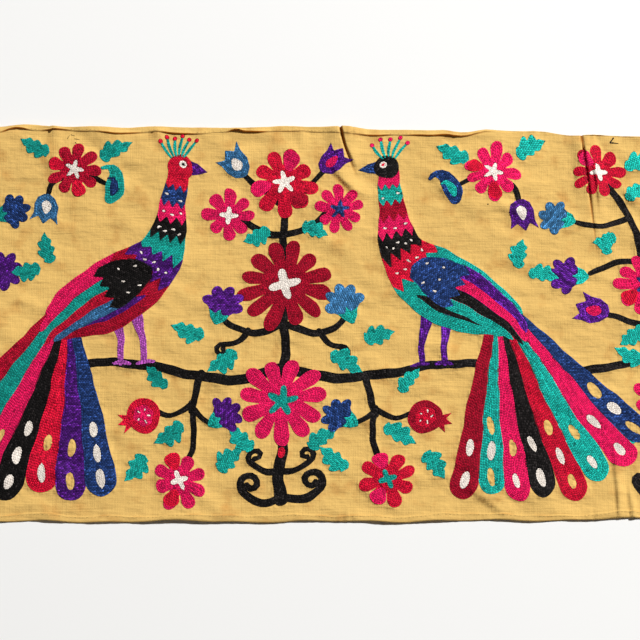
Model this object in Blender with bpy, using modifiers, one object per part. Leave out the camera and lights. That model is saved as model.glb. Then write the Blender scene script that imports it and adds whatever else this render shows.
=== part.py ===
"""A suzani: a long strip of plain cotton cloth with turned hems, embroidered over its face.

The strip lies face up on a level surface. Its underside is flat where it touches the surface, and it lifts
in a few soft folds and swells. Metres, +Z up: X runs along the strip and Y across it. The origin is on the
surface, under the middle of the cloth.
"""

import math

import bmesh
import bpy
import numpy as np

MM = 0.001

# The cloth as it was cut and hemmed
LENGTH = 1100 * MM
WIDTH = 530 * MM
SINGLE = 1.4 * MM  # one layer of cloth with its embroidery
DOUBLED = 2.2 * MM  # where the edge is turned over
HEM = 9 * MM  # width of the turned hem
HEM_STEP = 1.5 * MM  # how far the hem takes to fall to the single cloth

# The grid that the cloth is made from
STATIONS_ALONG = 88
STATIONS_ACROSS = 40
CROWDING = 4.2  # how many times closer the stations stand at a fold

# Where stations crowd together: the middle and the reach of each group of folds, in mm
CROWDED_ALONG = ((84, 26), (404, 22))
CROWDED_ACROSS = ((232, 40), (-236, 24))

# Folds, in mm: three points that a fold's crest passes by, its slopes to the right and the left of a walk
# from start to end, its height, and the share of the way at which it stands highest
FOLD_COLUMNS = ("start", "bend", "end", "right", "left", "height", "peak")
FOLDS = (
    ((76, 276), (81, 232), (105, 186), 9, 34, 7.5, 0.0),
    ((62, 214), (76, 180), (122, 166), 10, 22, 3.4, 0.5),
    ((104, 124), (130, 106), (160, 98), 10, 16, 2.2, 0.5),
    ((390, 278), (401, 206), (413, 74), 8, 22, 4.6, 0.2),
    ((406, 222), (418, 190), (419, 128), 7, 18, 2.6, 0.4),
    ((424, -160), (428, -200), (432, -274), 8, 16, 3.0, 0.8),
    ((438, 188), (452, 168), (474, 146), 9, 16, 2.8, 0.5),
    ((262, 160), (290, 152), (322, 140), 10, 16, 1.8, 0.5),
    ((232, -216), (256, -236), (286, -262), 10, 18, 2.6, 0.6),
    ((-304, 276), (-304, 250), (-300, 222), 8, 14, 4.0, 0.0),
    ((-470, 276), (-462, 214), (-470, 120), 12, 26, 3.6, 0.1),
    ((-505, -276), (-480, -226), (-486, -150), 18, 12, 3.2, 0.1),
)

# Low swells, in mm: the middle, the reach along and across, and the height
SWELL_COLUMNS = ("x", "y", "along", "across", "height")
SWELLS = (
    (-344, 262, 30, 26, 3.0),
    (-240, 260, 38, 24, 3.4),
    (-48, 262, 34, 20, 2.6),
    (243, 262, 56, 18, 2.4),
    (-286, 224, 44, 32, 1.8),
    (-172, 232, 34, 44, 1.6),
    (322, -232, 62, 44, 3.2),
    (-130, -246, 90, 36, 2.2),
    (40, -250, 60, 30, 1.8),
    (500, -40, 60, 110, 2.0),
    (-500, 10, 62, 90, 1.8),
    (190, 60, 76, 56, 1.2),
    (-60, 60, 60, 50, 1.2),
)

# The long edges aren't straight, in mm: the right end of each is drawn in, and each has shallow waves
TOP_DRAWN_IN = 11
BOTTOM_DRAWN_IN = 5
DRAW_STARTS = 60
WAVES = ((1.1, 190, 0.4), (0.7, 83, 1.9))  # height, length and phase
END_WAVES = ((1.6, 240, 1.1), (0.8, 95, 0.2))

COLLECTION = "suzani_textile"
GOLD = (0.775, 0.503, 0.141, 1.0)
CREST_STEPS = 24  # straight pieces that a fold's crest is measured by
LEAST = 1e-6  # keeps a share of nothing from dividing by zero
FINE_STEPS = 2000  # places at which the crowding is added up


def clear_scene():
    for item in list(bpy.data.objects):
        bpy.data.objects.remove(item, do_unlink=True)


def dome(share):
    """1 at 0, falling smoothly to 0 at 1 and beyond."""
    return np.clip(1 - share * share, 0, None) ** 2


def crest(start, bend, end):
    """Points along a fold's crest, a quadratic curve."""
    t = np.linspace(0, 1, CREST_STEPS + 1)[:, None]
    return (1 - t) ** 2 * np.array(start) + 2 * t * (1 - t) * np.array(bend) + t * t * np.array(end)


def one_fold(points, start, bend, end, right, left, height, peak):
    """The height that one fold gives to each of the points, in mm."""
    line = crest(start, bend, end)
    nearest = np.full(len(points), np.inf)
    side = np.zeros(len(points))
    share = np.zeros(len(points))
    for step in range(CREST_STEPS):
        along = line[step + 1] - line[step]
        offset = points - line[step]
        t = np.clip(offset @ along / (along @ along), 0, 1)
        away = offset - t[:, None] * along
        distance = np.hypot(away[:, 0], away[:, 1])
        closer = distance < nearest
        nearest = np.where(closer, distance, nearest)
        turn = along[0] * offset[:, 1] - along[1] * offset[:, 0]
        side = np.where(closer, turn, side)
        share = np.where(closer, (step + t) / CREST_STEPS, share)
    slope = np.where(side > 0, left, right)
    before = (peak - share) / max(peak, LEAST)
    after = (share - peak) / max(1 - peak, LEAST)
    taper = dome(np.where(share < peak, before, after))
    return height * dome(nearest / slope) * taper


def one_swell(points, x, y, along, across, height):
    """The height that one swell gives to each of the points, in mm."""
    reach = np.hypot((points[:, 0] - x) / along, (points[:, 1] - y) / across)
    return height * dome(reach)


def lift(points):
    """How far the cloth stands off the surface at each of the points, in mm."""
    raised = np.zeros(len(points))
    for row in FOLDS:
        raised += one_fold(points, **dict(zip(FOLD_COLUMNS, row)))
    for row in SWELLS:
        raised += one_swell(points, **dict(zip(SWELL_COLUMNS, row)))
    return raised


def ripple(place, waves):
    return sum(height * np.sin(2 * math.pi * place / length + phase) for height, length, phase in waves)


def edge_shift(points):
    """How far each point moves so that the cloth gets its uneven outline, in mm."""
    x, y = points[:, 0], points[:, 1]
    half_length, half_width = LENGTH / MM / 2, WIDTH / MM / 2
    drawn = np.clip((x - DRAW_STARTS) / (half_length - DRAW_STARTS), 0, 1) ** 1.5
    top = ripple(x, WAVES) - TOP_DRAWN_IN * drawn
    bottom = ripple(x + half_length, WAVES) + BOTTOM_DRAWN_IN * drawn
    share = y / (2 * half_width) + 0.5
    across = share * top + (1 - share) * bottom
    along = ripple(y, END_WAVES) * x / half_length
    return np.stack([along, across], 1)


def stations(length, count, crowded):
    """Places along one side of the cloth, closer together at its folds, with a hem at each end, in mm."""
    half = length / MM / 2
    inner = half - HEM / MM
    fine = np.linspace(-inner, inner, FINE_STEPS)
    density = np.ones_like(fine)
    for middle, reach in crowded:
        density += (CROWDING - 1) * np.exp(-(((fine - middle) / reach) ** 2))
    total = np.cumsum(density)
    total = (total - total[0]) / (total[-1] - total[0])
    inside = np.interp(np.linspace(0, 1, count - 4), total, fine)
    turned = half - (HEM - HEM_STEP) / MM
    return np.concatenate([[-half, -turned], inside, [turned, half]])


def cotton(name, colour):
    material = bpy.data.materials.new(name)
    material.use_nodes = True
    shader = material.node_tree.nodes["Principled BSDF"]
    shader.inputs["Base Color"].default_value = colour
    shader.inputs["Roughness"].default_value = 0.85
    shader.inputs["Metallic"].default_value = 0.0
    return material


def make_cloth(collection):
    """The cloth: a grid laid out to its stations, lifted in its folds and given its thickness upwards."""
    along = stations(LENGTH, STATIONS_ALONG, CROWDED_ALONG)
    across = stations(WIDTH, STATIONS_ACROSS, CROWDED_ACROSS)
    sheet = bmesh.new()
    bmesh.ops.create_grid(sheet, x_segments=len(along) - 1, y_segments=len(across) - 1, size=0.5)
    columns = [round((corner.co.x + 0.5) * (len(along) - 1)) for corner in sheet.verts]
    rows = [round((corner.co.y + 0.5) * (len(across) - 1)) for corner in sheet.verts]
    points = np.stack([along[columns], across[rows]], 1)
    places = points + edge_shift(points)
    places -= (places.max(0) + places.min(0)) / 2
    heights = lift(places)
    for corner, place, height in zip(sheet.verts, places, heights):
        corner.co = (place[0] * MM, place[1] * MM, height * MM)
    mesh = bpy.data.meshes.new("suzani_cloth")
    sheet.to_mesh(mesh)
    sheet.free()
    cloth = bpy.data.objects.new("suzani_cloth", mesh)
    collection.objects.link(cloth)
    mesh.materials.append(cotton("gold_cotton", GOLD))
    mesh.shade_smooth()

    layers = cloth.vertex_groups.new(name="layers")
    last_column, last_row = len(along) - 1, len(across) - 1
    for index, (column, row) in enumerate(zip(columns, rows)):
        hemmed = min(column, last_column - column, row, last_row - row) <= 1
        layers.add([index], 1.0 if hemmed else SINGLE / DOUBLED, "REPLACE")
    body = cloth.modifiers.new("thickness", "SOLIDIFY")
    body.thickness = DOUBLED
    body.offset = 1.0
    body.vertex_group = layers.name
    body.use_rim = True
    return cloth


def main():
    clear_scene()
    collection = bpy.data.collections.new(COLLECTION)
    bpy.context.scene.collection.children.link(collection)
    make_cloth(collection)


main()
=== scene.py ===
"""The look of the suzani strip: its cotton sheet with turned hems and its embroidery, stitch by stitch.

The design is drawn flat, in mm from the middle of the cloth, as closed outlines in the order in which they
are worked. Each outline is filled with rows of stitches, and lay() puts every point on the cloth's folds.
"""

import math

import bpy
import numpy as np
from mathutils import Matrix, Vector
from mathutils.geometry import delaunay_2d_cdt


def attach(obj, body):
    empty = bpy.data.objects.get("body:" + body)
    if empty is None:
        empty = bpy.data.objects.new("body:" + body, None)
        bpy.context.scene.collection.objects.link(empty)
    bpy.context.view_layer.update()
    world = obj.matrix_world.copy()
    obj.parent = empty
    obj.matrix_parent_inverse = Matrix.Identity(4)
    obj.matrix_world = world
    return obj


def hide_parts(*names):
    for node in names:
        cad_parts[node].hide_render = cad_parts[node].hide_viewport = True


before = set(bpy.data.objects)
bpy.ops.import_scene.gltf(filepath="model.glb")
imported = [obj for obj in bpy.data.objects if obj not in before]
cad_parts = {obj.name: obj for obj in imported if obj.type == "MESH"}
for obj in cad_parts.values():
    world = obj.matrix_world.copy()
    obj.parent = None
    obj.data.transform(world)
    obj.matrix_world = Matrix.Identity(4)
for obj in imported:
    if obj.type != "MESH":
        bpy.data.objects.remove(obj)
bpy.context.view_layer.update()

MM = 0.001
NODE = "suzani_cloth"
LEAST = 1e-6  # keeps a share of nothing from dividing by zero

# ---- the cloth's sizes, in mm
LENGTH, WIDTH = 1100, 530  # as hemmed
HEM = 9.0  # width of the turned hem
HEM_STEP = 0.6  # how far the hem takes to fall to the single cloth
SHEET = 0.9  # one layer
HEMMED = 1.9  # the turned layers
ROUNDED = 1.4  # how far in from the rim it is rounded off
RIM = 0.35  # how thick the rim itself is

# The sheet's grid: its usual cell, and where it is finer, as the middle and the reach of each group of folds
# and how many more lines there are. Beside each edge it has lines this far in.
SHEET_CELL = 4.8
CROWDED_ALONG = ((84, 15, 4.0), (404, 14, 3.2), (434, 13, 1.6))
CROWDED_ACROSS = ((232, 40, 1.8), (-236, 24, 1.2))
RIM_LINES = np.array([0, 0.5, ROUNDED, 3.5, 6.0, HEM - 0.7, HEM, HEM + HEM_STEP])
INNER_LINES = HEM + HEM_STEP + 1.6  # where the usual cells begin

# The solid's folds, here with their sharper sides: three points that a fold's crest passes by, its slopes to
# the right and the left of a walk from start to end, its height, and at what share of the way it is highest
FOLD_COLUMNS = ("start", "bend", "end", "right", "left", "height", "peak")
FOLDS = (
    ((76, 276), (81, 232), (105, 186), 3.0, 34, 7.2, 0.0),
    ((59, 226), (74, 182), (126, 162), 5.5, 22, 5.0, 0.45),
    ((104, 124), (130, 106), (160, 98), 10, 16, 2.2, 0.5),
    ((391, 278), (402, 206), (413, 74), 2.2, 22, 5.2, 0.3),
    ((405, 226), (413, 192), (416, 138), 3.0, 18, 3.4, 0.4),
    ((424, -160), (429, -200), (432, -274), 3.2, 14, 3.5, 0.75),
    ((438, 188), (452, 168), (474, 146), 5.5, 14, 3.2, 0.5),
    ((258, 162), (290, 152), (324, 141), 4.5, 14, 3.1, 0.5),
    ((226, -212), (258, -234), (296, -264), 6.5, 18, 4.4, 0.6),
    ((-304, 276), (-304, 250), (-300, 222), 4, 14, 3.8, 0.0),
    ((-470, 276), (-462, 214), (-470, 120), 12, 26, 3.6, 0.1),
    ((-505, -276), (-480, -226), (-486, -150), 18, 12, 3.2, 0.1),
)
# Small creases between the folds, in the same columns; the first three make the two sharpest folds meet the
# cloth beside them in a slit
CREASES = (
    ((70.5, 276), (75.5, 232), (100, 188), 24, 2.6, 4.0, 0.0),
    ((84, 240), (90, 222), (99, 202), 1.6, 12, 1.6, 0.4),
    ((387, 278), (398, 206), (409, 74), 20, 1.8, 3.2, 0.3),
    ((-372, 184), (-352, 180), (-330, 182), 5.1, 10, 1.5, 0.3),
    ((-352, 156), (-330, 166), (-304, 171), 4.2, 8, 1.3, 0.5),
    ((-172, 262), (-168, 250), (-158, 236), 4.2, 12, 3.1, 0.1),
    ((-184, 208), (-150, 200), (-114, 203), 6, 12, 1.7, 0.5),
    ((-200, 188), (-190, 180), (-180, 168), 4.2, 9, 1.4, 0.5),
    ((-162, 128), (-160, 116), (-155, 104), 3, 5, 1.1, 0.3),
    ((-146, 126), (-143, 114), (-141, 104), 3, 5, 1.1, 0.3),
    ((-344, 84), (-326, 76), (-306, 74), 4.2, 8, 1.3, 0.5),
    ((-122, 22), (-98, 18), (-74, 22), 4.2, 9, 1.4, 0.5),
    ((272, 172), (288, 160), (304, 152), 6, 11, 1.7, 0.4),
    ((286, 116), (300, 112), (316, 113), 3.4, 7, 1.1, 0.5),
    ((60, -176), (74, -172), (90, -173), 3.4, 7, 1.4, 0.5),
    ((62, -222), (76, -226), (92, -224), 4.2, 9, 1.3, 0.5),
    ((-64, -106), (-54, -116), (-42, -122), 3.4, 7, 1.3, 0.5),
    ((-50, -212), (-38, -220), (-24, -226), 5.1, 10, 1.5, 0.5),
    ((294, -84), (298, -94), (300, -106), 3, 6, 1.3, 0.2),
    ((441, -206), (446, -232), (448, -268), 2.2, 9, 3.9, 0.8),
    ((252, -216), (280, -234), (304, -262), 4.6, 11, 1.7, 0.5),
    ((302, 18), (324, 11), (344, 3), 4.2, 9, 1.7, 0.5),
    ((410, 21), (438, 17), (472, 9), 4.5, 12, 1.8, 0.6),
    ((286, -176), (312, -180), (340, -178), 5.1, 10, 1.3, 0.5),
    ((-364, -142), (-346, -146), (-326, -145), 5.1, 9, 1.1, 0.5),
    ((20, 262), (26, 246), (24, 226), 5.1, 12, 2.1, 0.1),
    ((330, 262), (326, 246), (332, 228), 5.1, 11, 1.8, 0.1),
)
# The slits beside the sharpest folds, in the folds' columns, with how dark the painted shade in each is in
# place of its height
SLITS = (
    ((73.4, 278), (78.4, 232), (102.5, 187), 2.4, 2.4, 1.5, 0.1),
    ((389.2, 278), (400.2, 206), (411.2, 74), 2.0, 2.0, 1.7, 0.3),
    ((403.5, 226), (411.3, 192), (414.3, 138), 1.8, 1.8, 0.9, 0.3),
    ((57, 216), (71, 179), (120, 159), 4.5, 4.5, 0.45, 0.5),
)
CREST_STEPS = 24  # straight pieces that a fold's crest is measured by

# Low swells: the middle along and across, the reach along and across, and the height
SWELLS = (
    (-344, 262, 30, 26, 3.0),
    (-240, 260, 38, 24, 3.4),
    (-48, 262, 34, 20, 2.6),
    (243, 262, 56, 18, 2.4),
    (-286, 224, 44, 32, 1.8),
    (-172, 232, 34, 44, 1.6),
    (322, -232, 62, 44, 3.2),
    (-130, -246, 90, 36, 2.2),
    (40, -250, 60, 30, 1.8),
    (500, -40, 60, 110, 2.0),
    (-500, 10, 62, 90, 1.8),
    (190, 60, 76, 56, 1.2),
    (-60, 60, 60, 50, 1.2),
)

# The long edges aren't straight: the right end of each is drawn in, and each has shallow waves. A wave has a
# height, a length and a phase.
TOP_DRAWN_IN = 11
BOTTOM_DRAWN_IN = 5
DRAW_STARTS = 60  # how far to the right of the middle
WAVES = ((1.1, 190, 0.4), (0.7, 83, 1.9))
END_WAVES = ((1.6, 240, 1.1), (0.8, 95, 0.2))
# Where the top edge dips: the middle, the reach and the depth of each; and how far in the dips are felt
TOP_DIPS = (
    (-330, 220, -1.6), (-4, 90, -1.4), (180, 70, 2.2), (238, 32, 5.8),
    (286, 34, -0.8), (390, 52, 5.2), (434, 28, 1.8), (470, 110, 3.6),
)
DIPS_FADE = 90

# The hem's free edge wanders this far towards the rim, and in swings of a height, a length over 2 pi and a
# phase. The cloth beside it shares in that over the width after them.
HEM_WANDERS = 1.6
HEM_SWINGS = ((1.2, 41, 0.8), (0.8, 17, 2.0), (0.3, 6.1, 0.0))
WANDER_FADES = 34
# Where the hem along the top stands up: the middle, the reach, the height and how much narrower the hem is
HEM_GAPES = (
    (-352, 24, 2.6, 3.6), (-298, 26, 1.4, 2.4), (-222, 40, 1.5, 0.0), (-136, 40, 1.5, 0.0),
    (-64, 14, 2.4, 3.2), (-46, 26, 3.0, 0.6), (118, 30, 1.5, 0.0), (184, 26, 1.6, 0.0),
    (222, 34, 2.8, 0.0), (258, 28, 2.2, 0.0),
)
# Along the top the hem narrows from the first of these places on, and from the second it is turned under
HEM_ROLLED = (222, 292)

# Fine ripples in patches, most of them along the strip, and puckers along the hem
RIPPLES = np.random.default_rng(3).uniform(size=(34, 4))  # each one's heading, size, phase and patches
RIPPLE_HEIGHT = 0.026  # for a ripple 1 mm long
REST = 2.0  # how much of them the surface presses flat
PUCKER_HEIGHT = 0.5
TURN = 6.28  # a whole turn in radians, nearly

# ---- the stitches' sizes, in mm
PITCH = 2.1  # between rows
FIRST_ROW = 0.95  # from an outline in to its first row
STITCH = 3.5  # along a row
THREAD = 1.95  # a chain stitch's width
PROUD = 0.88  # how far it stands off its ground
WIDTHS_VARY = (0.88, 1.06)  # from stitch to stitch, as shares
HEIGHTS_VARY = (0.72, 1.22)
LAPS, LAPS_MORE = 0.18, 0.06  # how far a stitch runs into the next, and which share of its half length more
SHORTEST_ROW = 1.4
SHORTEST_STRAIGHT = 1.6  # a straight row
SHORTEST_END = 1.2  # the first or last stitch of a straight row
SHORTEST_LEFT = 0.9  # what is left of a stitch that is partly covered
COVERS = 1.25  # how far a stitch hides its ground
GAP_DEPTH = 0.5  # how deep inside an outline a gap has to be
GAP_RIM = 0.35  # how near the outline a stitch in a gap may come
GAP_STEPS = np.arange(4, 20, 4) / 10  # how far such a stitch may reach each way
PAD = 0.22  # the thread ground under the stitches
GROUND_RIM = 0.12  # how far the ground's rim stands off the cloth
GROUND_SLOPE = 1.4  # how far it takes from there to its full height
GROUND_STEP = 2.4  # between the corners of the ground's outline
TUCK = 1.0  # how far the ground of one area runs in under the next
UNEVEN_BASE = 0.10  # how much higher one area may lie than another
SUNK = 0.06  # how far a stitch sinks into its ground
CLEARANCE = 0.06  # the least that the ground clears the cloth by
MOST_RAISED = 0.45  # the most that a corner of the ground is raised for it
CELL = 0.8  # the grid on which rows that follow an outline are found
DEPTHS_AT_ONCE = 400000  # distances worked out together, which limits the memory used
HEM_STITCH_PITCH = 5.2
HEM_STITCHES_START = 14  # from a corner of the cloth
HEM_STITCH_INSET = 1.5  # from the hem's free edge
HEM_STITCH_WIDTH, HEM_STITCH_PROUD = 0.8, 0.30
HEM_STITCH_CLEAR = 0.04  # off the hem

# ---- colours, as linear RGB
COLOURS = {
    "pink": (0.96, 0.013, 0.135),
    "crimson": (0.80, 0.0085, 0.045),
    "maroon": (0.50, 0.006, 0.031),
    "teal": (0.0115, 0.455, 0.382),
    "purple": (0.116, 0.016, 0.27),
    "navy": (0.023, 0.062, 0.225),
    "blue": (0.058, 0.21, 0.43),
    "lilac": (0.50, 0.10, 0.50),
    "black": (0.0140, 0.0116, 0.0114),
    "white": (0.87, 0.79, 0.71),
}
CLOTH = (0.675, 0.428, 0.130)
PAINTED_SLIT_SHADE = (0.58, 0.28, 0.06)  # painted shade: multiplies the cloth's colour deep in a slit and under a hem that stands up, darker and redder, as where light comes through cloth
PATCH_TINT = (0.90, 0.815, 0.76)  # multiplies it in patches, where it is warmer and darker
STREAKY = ("navy", "blue", "purple")  # threads whose dye varies most from row to row
# How much paler a thread gets towards the right: for 1 it is e times as pale at the end as in the middle
PALER = {"teal": 0.46, "purple": 0.44, "black": 0.80, "navy": 0.2, "blue": 0.2, "pink": 0.14}
# How much one stitch differs from the next: below 0 the darker stitches stand out, above 0 the lighter ones.
# For purple, navy and black, the lighter stitches are uneven thread and painted sheen together.
UNEVEN = {
    "pink": -0.18, "crimson": -0.20, "maroon": -0.22, "teal": -0.22, "purple": 0.52,
    "navy": 0.50, "blue": 0.36, "lilac": 0.26, "black": 0.76, "white": -0.10,
}
DARKEST, PALEST = 0.35, 3.0  # the limits of a stitch's tone
LOTS_VARY, ROWS_VARY, STREAKS = 0.08, 0.05, 0.20  # from area to area, and from row to row
PAINTED_SHADE_SHARES = {"white": 0.45}  # how much of the painted shade and highlights between and on strands and rows a thread gets, where it isn't all of them
GROUND_PAINTED_SHADE = 0.75  # painted shade: how much darker the ground is painted, for the shade between stitches and rows, for 1
THREAD_GLOSS = 0.06

REGIONS = []  # every worked area
hand = np.random.default_rng(7)  # the unevenness of the drawing


# ---- lines and outlines
def smooth(points, steps=8):
    """A Catmull-Rom curve through the points."""
    p = np.asarray(points, float)
    p = np.vstack([2 * p[0] - p[1], p, 2 * p[-1] - p[-2]])
    t = np.linspace(0, 1, steps, endpoint=False)[:, None]
    out = []
    for a, b, c, d in zip(p, p[1:], p[2:], p[3:]):
        out.append(
            0.5 * (2 * b + (c - a) * t + (2 * a - 5 * b + 4 * c - d) * t**2 + (3 * b - a - 3 * c + d) * t**3)
        )
    return np.vstack([*out, p[-2:-1]])


def polar(x, y, radius, angle):
    """Places at these radii and angles, in radians, round a centre."""
    return np.stack([x + radius * np.cos(angle), y + radius * np.sin(angle)], -1)


def step_at(angle):
    """One step at this angle, in radians."""
    return np.array([math.cos(angle), math.sin(angle)])


def turned_left(ahead):
    """These directions turned a quarter to the left."""
    return np.stack([-ahead[..., 1], ahead[..., 0]], -1)


def lengths_along(line):
    """How far each corner of a line is from its start, along it."""
    return np.concatenate([[0], np.cumsum(np.hypot(*np.diff(line, axis=0).T))])


def between(place, corners, points):
    """Points at places along a line, given where its corners are along it and what they are."""
    return np.stack([np.interp(place, corners, points[:, k]) for k in (0, 1)], -1)


def placed(points, x, y, heading, size=1.0):
    """Points drawn with +X ahead, turned to a heading in degrees and moved."""
    c, s = math.cos(math.radians(heading)), math.sin(math.radians(heading))
    p = np.asarray(points, float) * size
    return np.stack([x + c * p[:, 0] - s * p[:, 1], y + s * p[:, 0] + c * p[:, 1]], 1)


def oval(x, y, long, wide, heading, corners=12):
    t = np.linspace(0, 2 * np.pi, corners, endpoint=False)
    return placed(np.stack([long / 2 * np.cos(t), wide / 2 * np.sin(t)], 1), x, y, heading)


class Strip:
    """A band along a curve: at(t, s) is the place at share t of its length and s across it, -1 to 1."""

    def __init__(self, points, widths):
        self.line = smooth(points)
        self.half = smooth(np.stack([widths, widths], 1))[:, 0] / 2
        total = lengths_along(self.line)
        self.length = total[-1]
        self.share = total / self.length
        ahead = np.gradient(self.line, axis=0)
        self.side = turned_left(ahead / np.hypot(*ahead.T)[:, None])

    def at(self, t, s):
        t, s = np.broadcast_arrays(np.asarray(t, float), np.asarray(s, float))
        half = np.interp(t, self.share, self.half)
        side = between(t, self.share, self.side)
        return between(t, self.share, self.line) + side * (half * s)[..., None]

    def heading(self, t):
        side = between(t, self.share, self.side)
        return math.degrees(math.atan2(-side[0], side[1]))


PLAIN_EDGE = 5  # points across a plain edge


def edge(kind="plain", count=1, depth=0.0):
    """Across a strip from -1 to 1: where an edge's points are and how far ahead each one stands."""
    if kind == "teeth":
        s = np.linspace(-1, 1, 2 * count + 1)
        ahead = depth * (np.arange(2 * count + 1) % 2 - 0.5)
    elif kind == "waves":
        s = np.linspace(-1, 1, 6 * count + 1)
        ahead = depth * (np.abs(np.sin(np.pi * count * (s + 1) / 2)) - 0.5)
    else:
        s = np.linspace(-1, 1, PLAIN_EDGE)
        ahead = np.zeros(PLAIN_EDGE)
    return s, ahead


def band(strip, start, end, last=("plain",), across=(-1, 1)):
    """The outline of the part of a strip between two shares of its length and two places across it."""
    low, high = across
    s_first = low + (high - low) * (edge()[0] + 1) / 2
    s_last, ahead = edge(*last)
    s_last = low + (high - low) * (s_last + 1) / 2
    t = np.linspace(start, end, max(3, int((end - start) * strip.length / 5)))[1:-1]
    return np.vstack(
        [
            strip.at(t, low),
            strip.at(end + ahead / strip.length, s_last),
            strip.at(t[::-1], high),
            strip.at(start, s_first[::-1]),
        ]
    )


def capped(strip, rounding=5):
    """The outline of a whole strip with round ends."""
    body = band(strip, 0, 1)
    turn = np.linspace(0, np.pi, rounding + 2)[1:-1]
    caps = []
    for t, s in ((1.0, -1.0), (0.0, 1.0)):
        centre = strip.at(t, 0.0)
        side = strip.at(t, s) - centre
        caps.append(centre + side * np.cos(turn)[:, None] + turned_left(side) * np.sin(turn)[:, None])
    along = (len(body) - 2 * PLAIN_EDGE) // 2
    back = along + PLAIN_EDGE
    return np.vstack([body[:along], caps[0], body[back : back + along], caps[1]])


# ---- keeping a worked area
DRIFTS, WOBBLES, SHAKES = 2.6, 0.9, 0.4  # how far the hand strays over a motif, a petal and a stitch or two


def by_hand(points):
    """Moves points as an even hand wouldn't, the same for all outlines."""
    x, y = points.T
    dx = DRIFTS * np.sin(x / 61 + y / 83 + 0.6) + WOBBLES * np.sin(y / 9.7 + x / 23)
    dy = DRIFTS * np.sin(x / 71 - y / 57 + 2.1) + WOBBLES * np.sin(x / 10.9 - y / 19)
    dx += SHAKES * np.sin(y / 3.9 + 1.0)
    dy += SHAKES * np.sin(x / 4.3 + 2.0)
    return points + np.stack([dx, dy], 1)


def work(points, thread, fill="round", angle=0.0):
    """Adds an area worked in one thread, or left bare for None.

    Its rows follow its outline for round, and lie at an angle for rows.
    """
    outline = by_hand(np.asarray(points, float))
    REGIONS.append({"points": outline, "thread": thread, "fill": fill, "angle": angle})


# ---- motifs
def petal(x, y, heading, inner, outer, width):
    widest = 0.64
    t = np.linspace(0, 1, 12)
    round_tip = np.sqrt(np.clip(1 - ((t - widest) / (1 - widest)) ** 2, 0, 1))
    swelling = 0.34 + 0.66 * np.sin(np.pi / 2 * np.clip(t / widest, 0, 1)) ** 1.3
    half = width / 2 * np.where(t > widest, round_tip, swelling)
    ahead = inner + (outer - inner) * t
    upper = np.stack([ahead, half], 1)
    lower = np.stack([ahead, -half], 1)[::-1][1:]
    return placed(np.vstack([upper, lower]), x, y, heading)


def flower(x, y, radius, petals, thread, middle, spin=0.0, mixed=()):
    """A round flower of long petals: one area, with the petals in mixed worked again in another thread."""
    turn = 360 / petals
    throat = radius * 0.47
    phase = np.linspace(-1, 1, 11)[:-1]
    full = (1 - np.abs(phase) ** 2.3) ** 0.55
    rim, angles = [], []
    for k in range(petals):
        reach = radius * hand.uniform(0.90, 1.06)
        heading = spin + turn * (k + hand.uniform(-0.08, 0.08))
        rim.append(throat + (reach - throat) * full)
        angles.append(np.radians(heading + turn / 2 * phase))
    work(polar(x, y, np.concatenate(rim), np.concatenate(angles)), thread)
    width = 2 * radius * math.sin(math.pi / petals) * 0.74
    for k, other in mixed:
        heading = spin + turn * k
        work(petal(x, y, heading, radius * 0.36, radius * 0.96, width), other, "rows", heading + 30)
    lobes, tone, size = middle
    t = np.linspace(0, 2 * np.pi, 10 * lobes, endpoint=False)
    work(polar(x, y, radius * size * (0.72 + 0.34 * np.cos(lobes * t)), t + math.radians(spin)), tone)


def carnation(x, y, heading, size, thread):
    """A fan-shaped flower with a lobed rim and a small cup."""
    lobes = 5
    spread = math.radians(112)
    t = np.linspace(-spread, spread, 8 * lobes + 1)
    rim = 0.56 * (0.72 + 0.34 * np.abs(np.sin(lobes * np.pi * (t + spread) / (2 * spread))) ** 0.8)
    fan = np.stack([0.46 + rim * np.cos(t), rim * np.sin(t)], 1)
    foot = [(0.02, 0.12), (0.02, -0.12)]
    outline = placed(np.vstack([fan, foot]), x, y, heading, size)
    work(outline, thread, "rows", heading + hand.uniform(-70, 70))
    cup = [
        (-0.16, -0.04), (0.02, -0.22), (0.24, -0.30), (0.16, -0.10), (0.34, 0.0),
        (0.16, 0.10), (0.24, 0.30), (0.02, 0.22), (-0.16, 0.04),
    ]
    work(placed(cup, x, y, heading, size), "teal")


def tulip(x, y, heading, size, thread, heart):
    """A cup of three points with a heart of another thread."""
    side = [(-0.02, 0.10), (0.14, 0.32), (0.42, 0.44), (0.72, 0.42), (1.02, 0.50), (0.84, 0.22), (1.08, 0.02)]
    cup = side + [(ahead, -across) for ahead, across in reversed(side)]
    work(placed(cup, x, y, heading, size), thread)
    inner = [(0.20, 0.0), (0.34, 0.17), (0.54, 0.16), (0.76, 0.0), (0.54, -0.16), (0.34, -0.17)]
    work(placed(smooth(inner + inner[:1], 3)[:-1], x, y, heading, size), heart)


def pomegranate(x, y, heading, size, thread, flesh, seeds):
    t = np.linspace(0, 2 * np.pi, 26, endpoint=False)
    crown = [
        (0.40, -0.16), (0.74, -0.32), (0.62, -0.10), (0.84, 0.0), (0.62, 0.10), (0.74, 0.32), (0.40, 0.16),
    ]
    fruit = polar(0, 0, 0.52, t)
    cut = polar(0, 0, 0.31 + 0.03 * np.cos(6 * t), t)
    for outline, tone in ((crown, thread), (fruit, thread), (cut, flesh)):
        work(placed(outline, x, y, heading, size), tone)
    for turn in range(20, 380, 72):
        spot = placed([0.18 * step_at(math.radians(turn))], x, y, heading, size)[0]
        work(oval(*spot, 5.4, 3.4, heading + turn), seeds)


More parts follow.
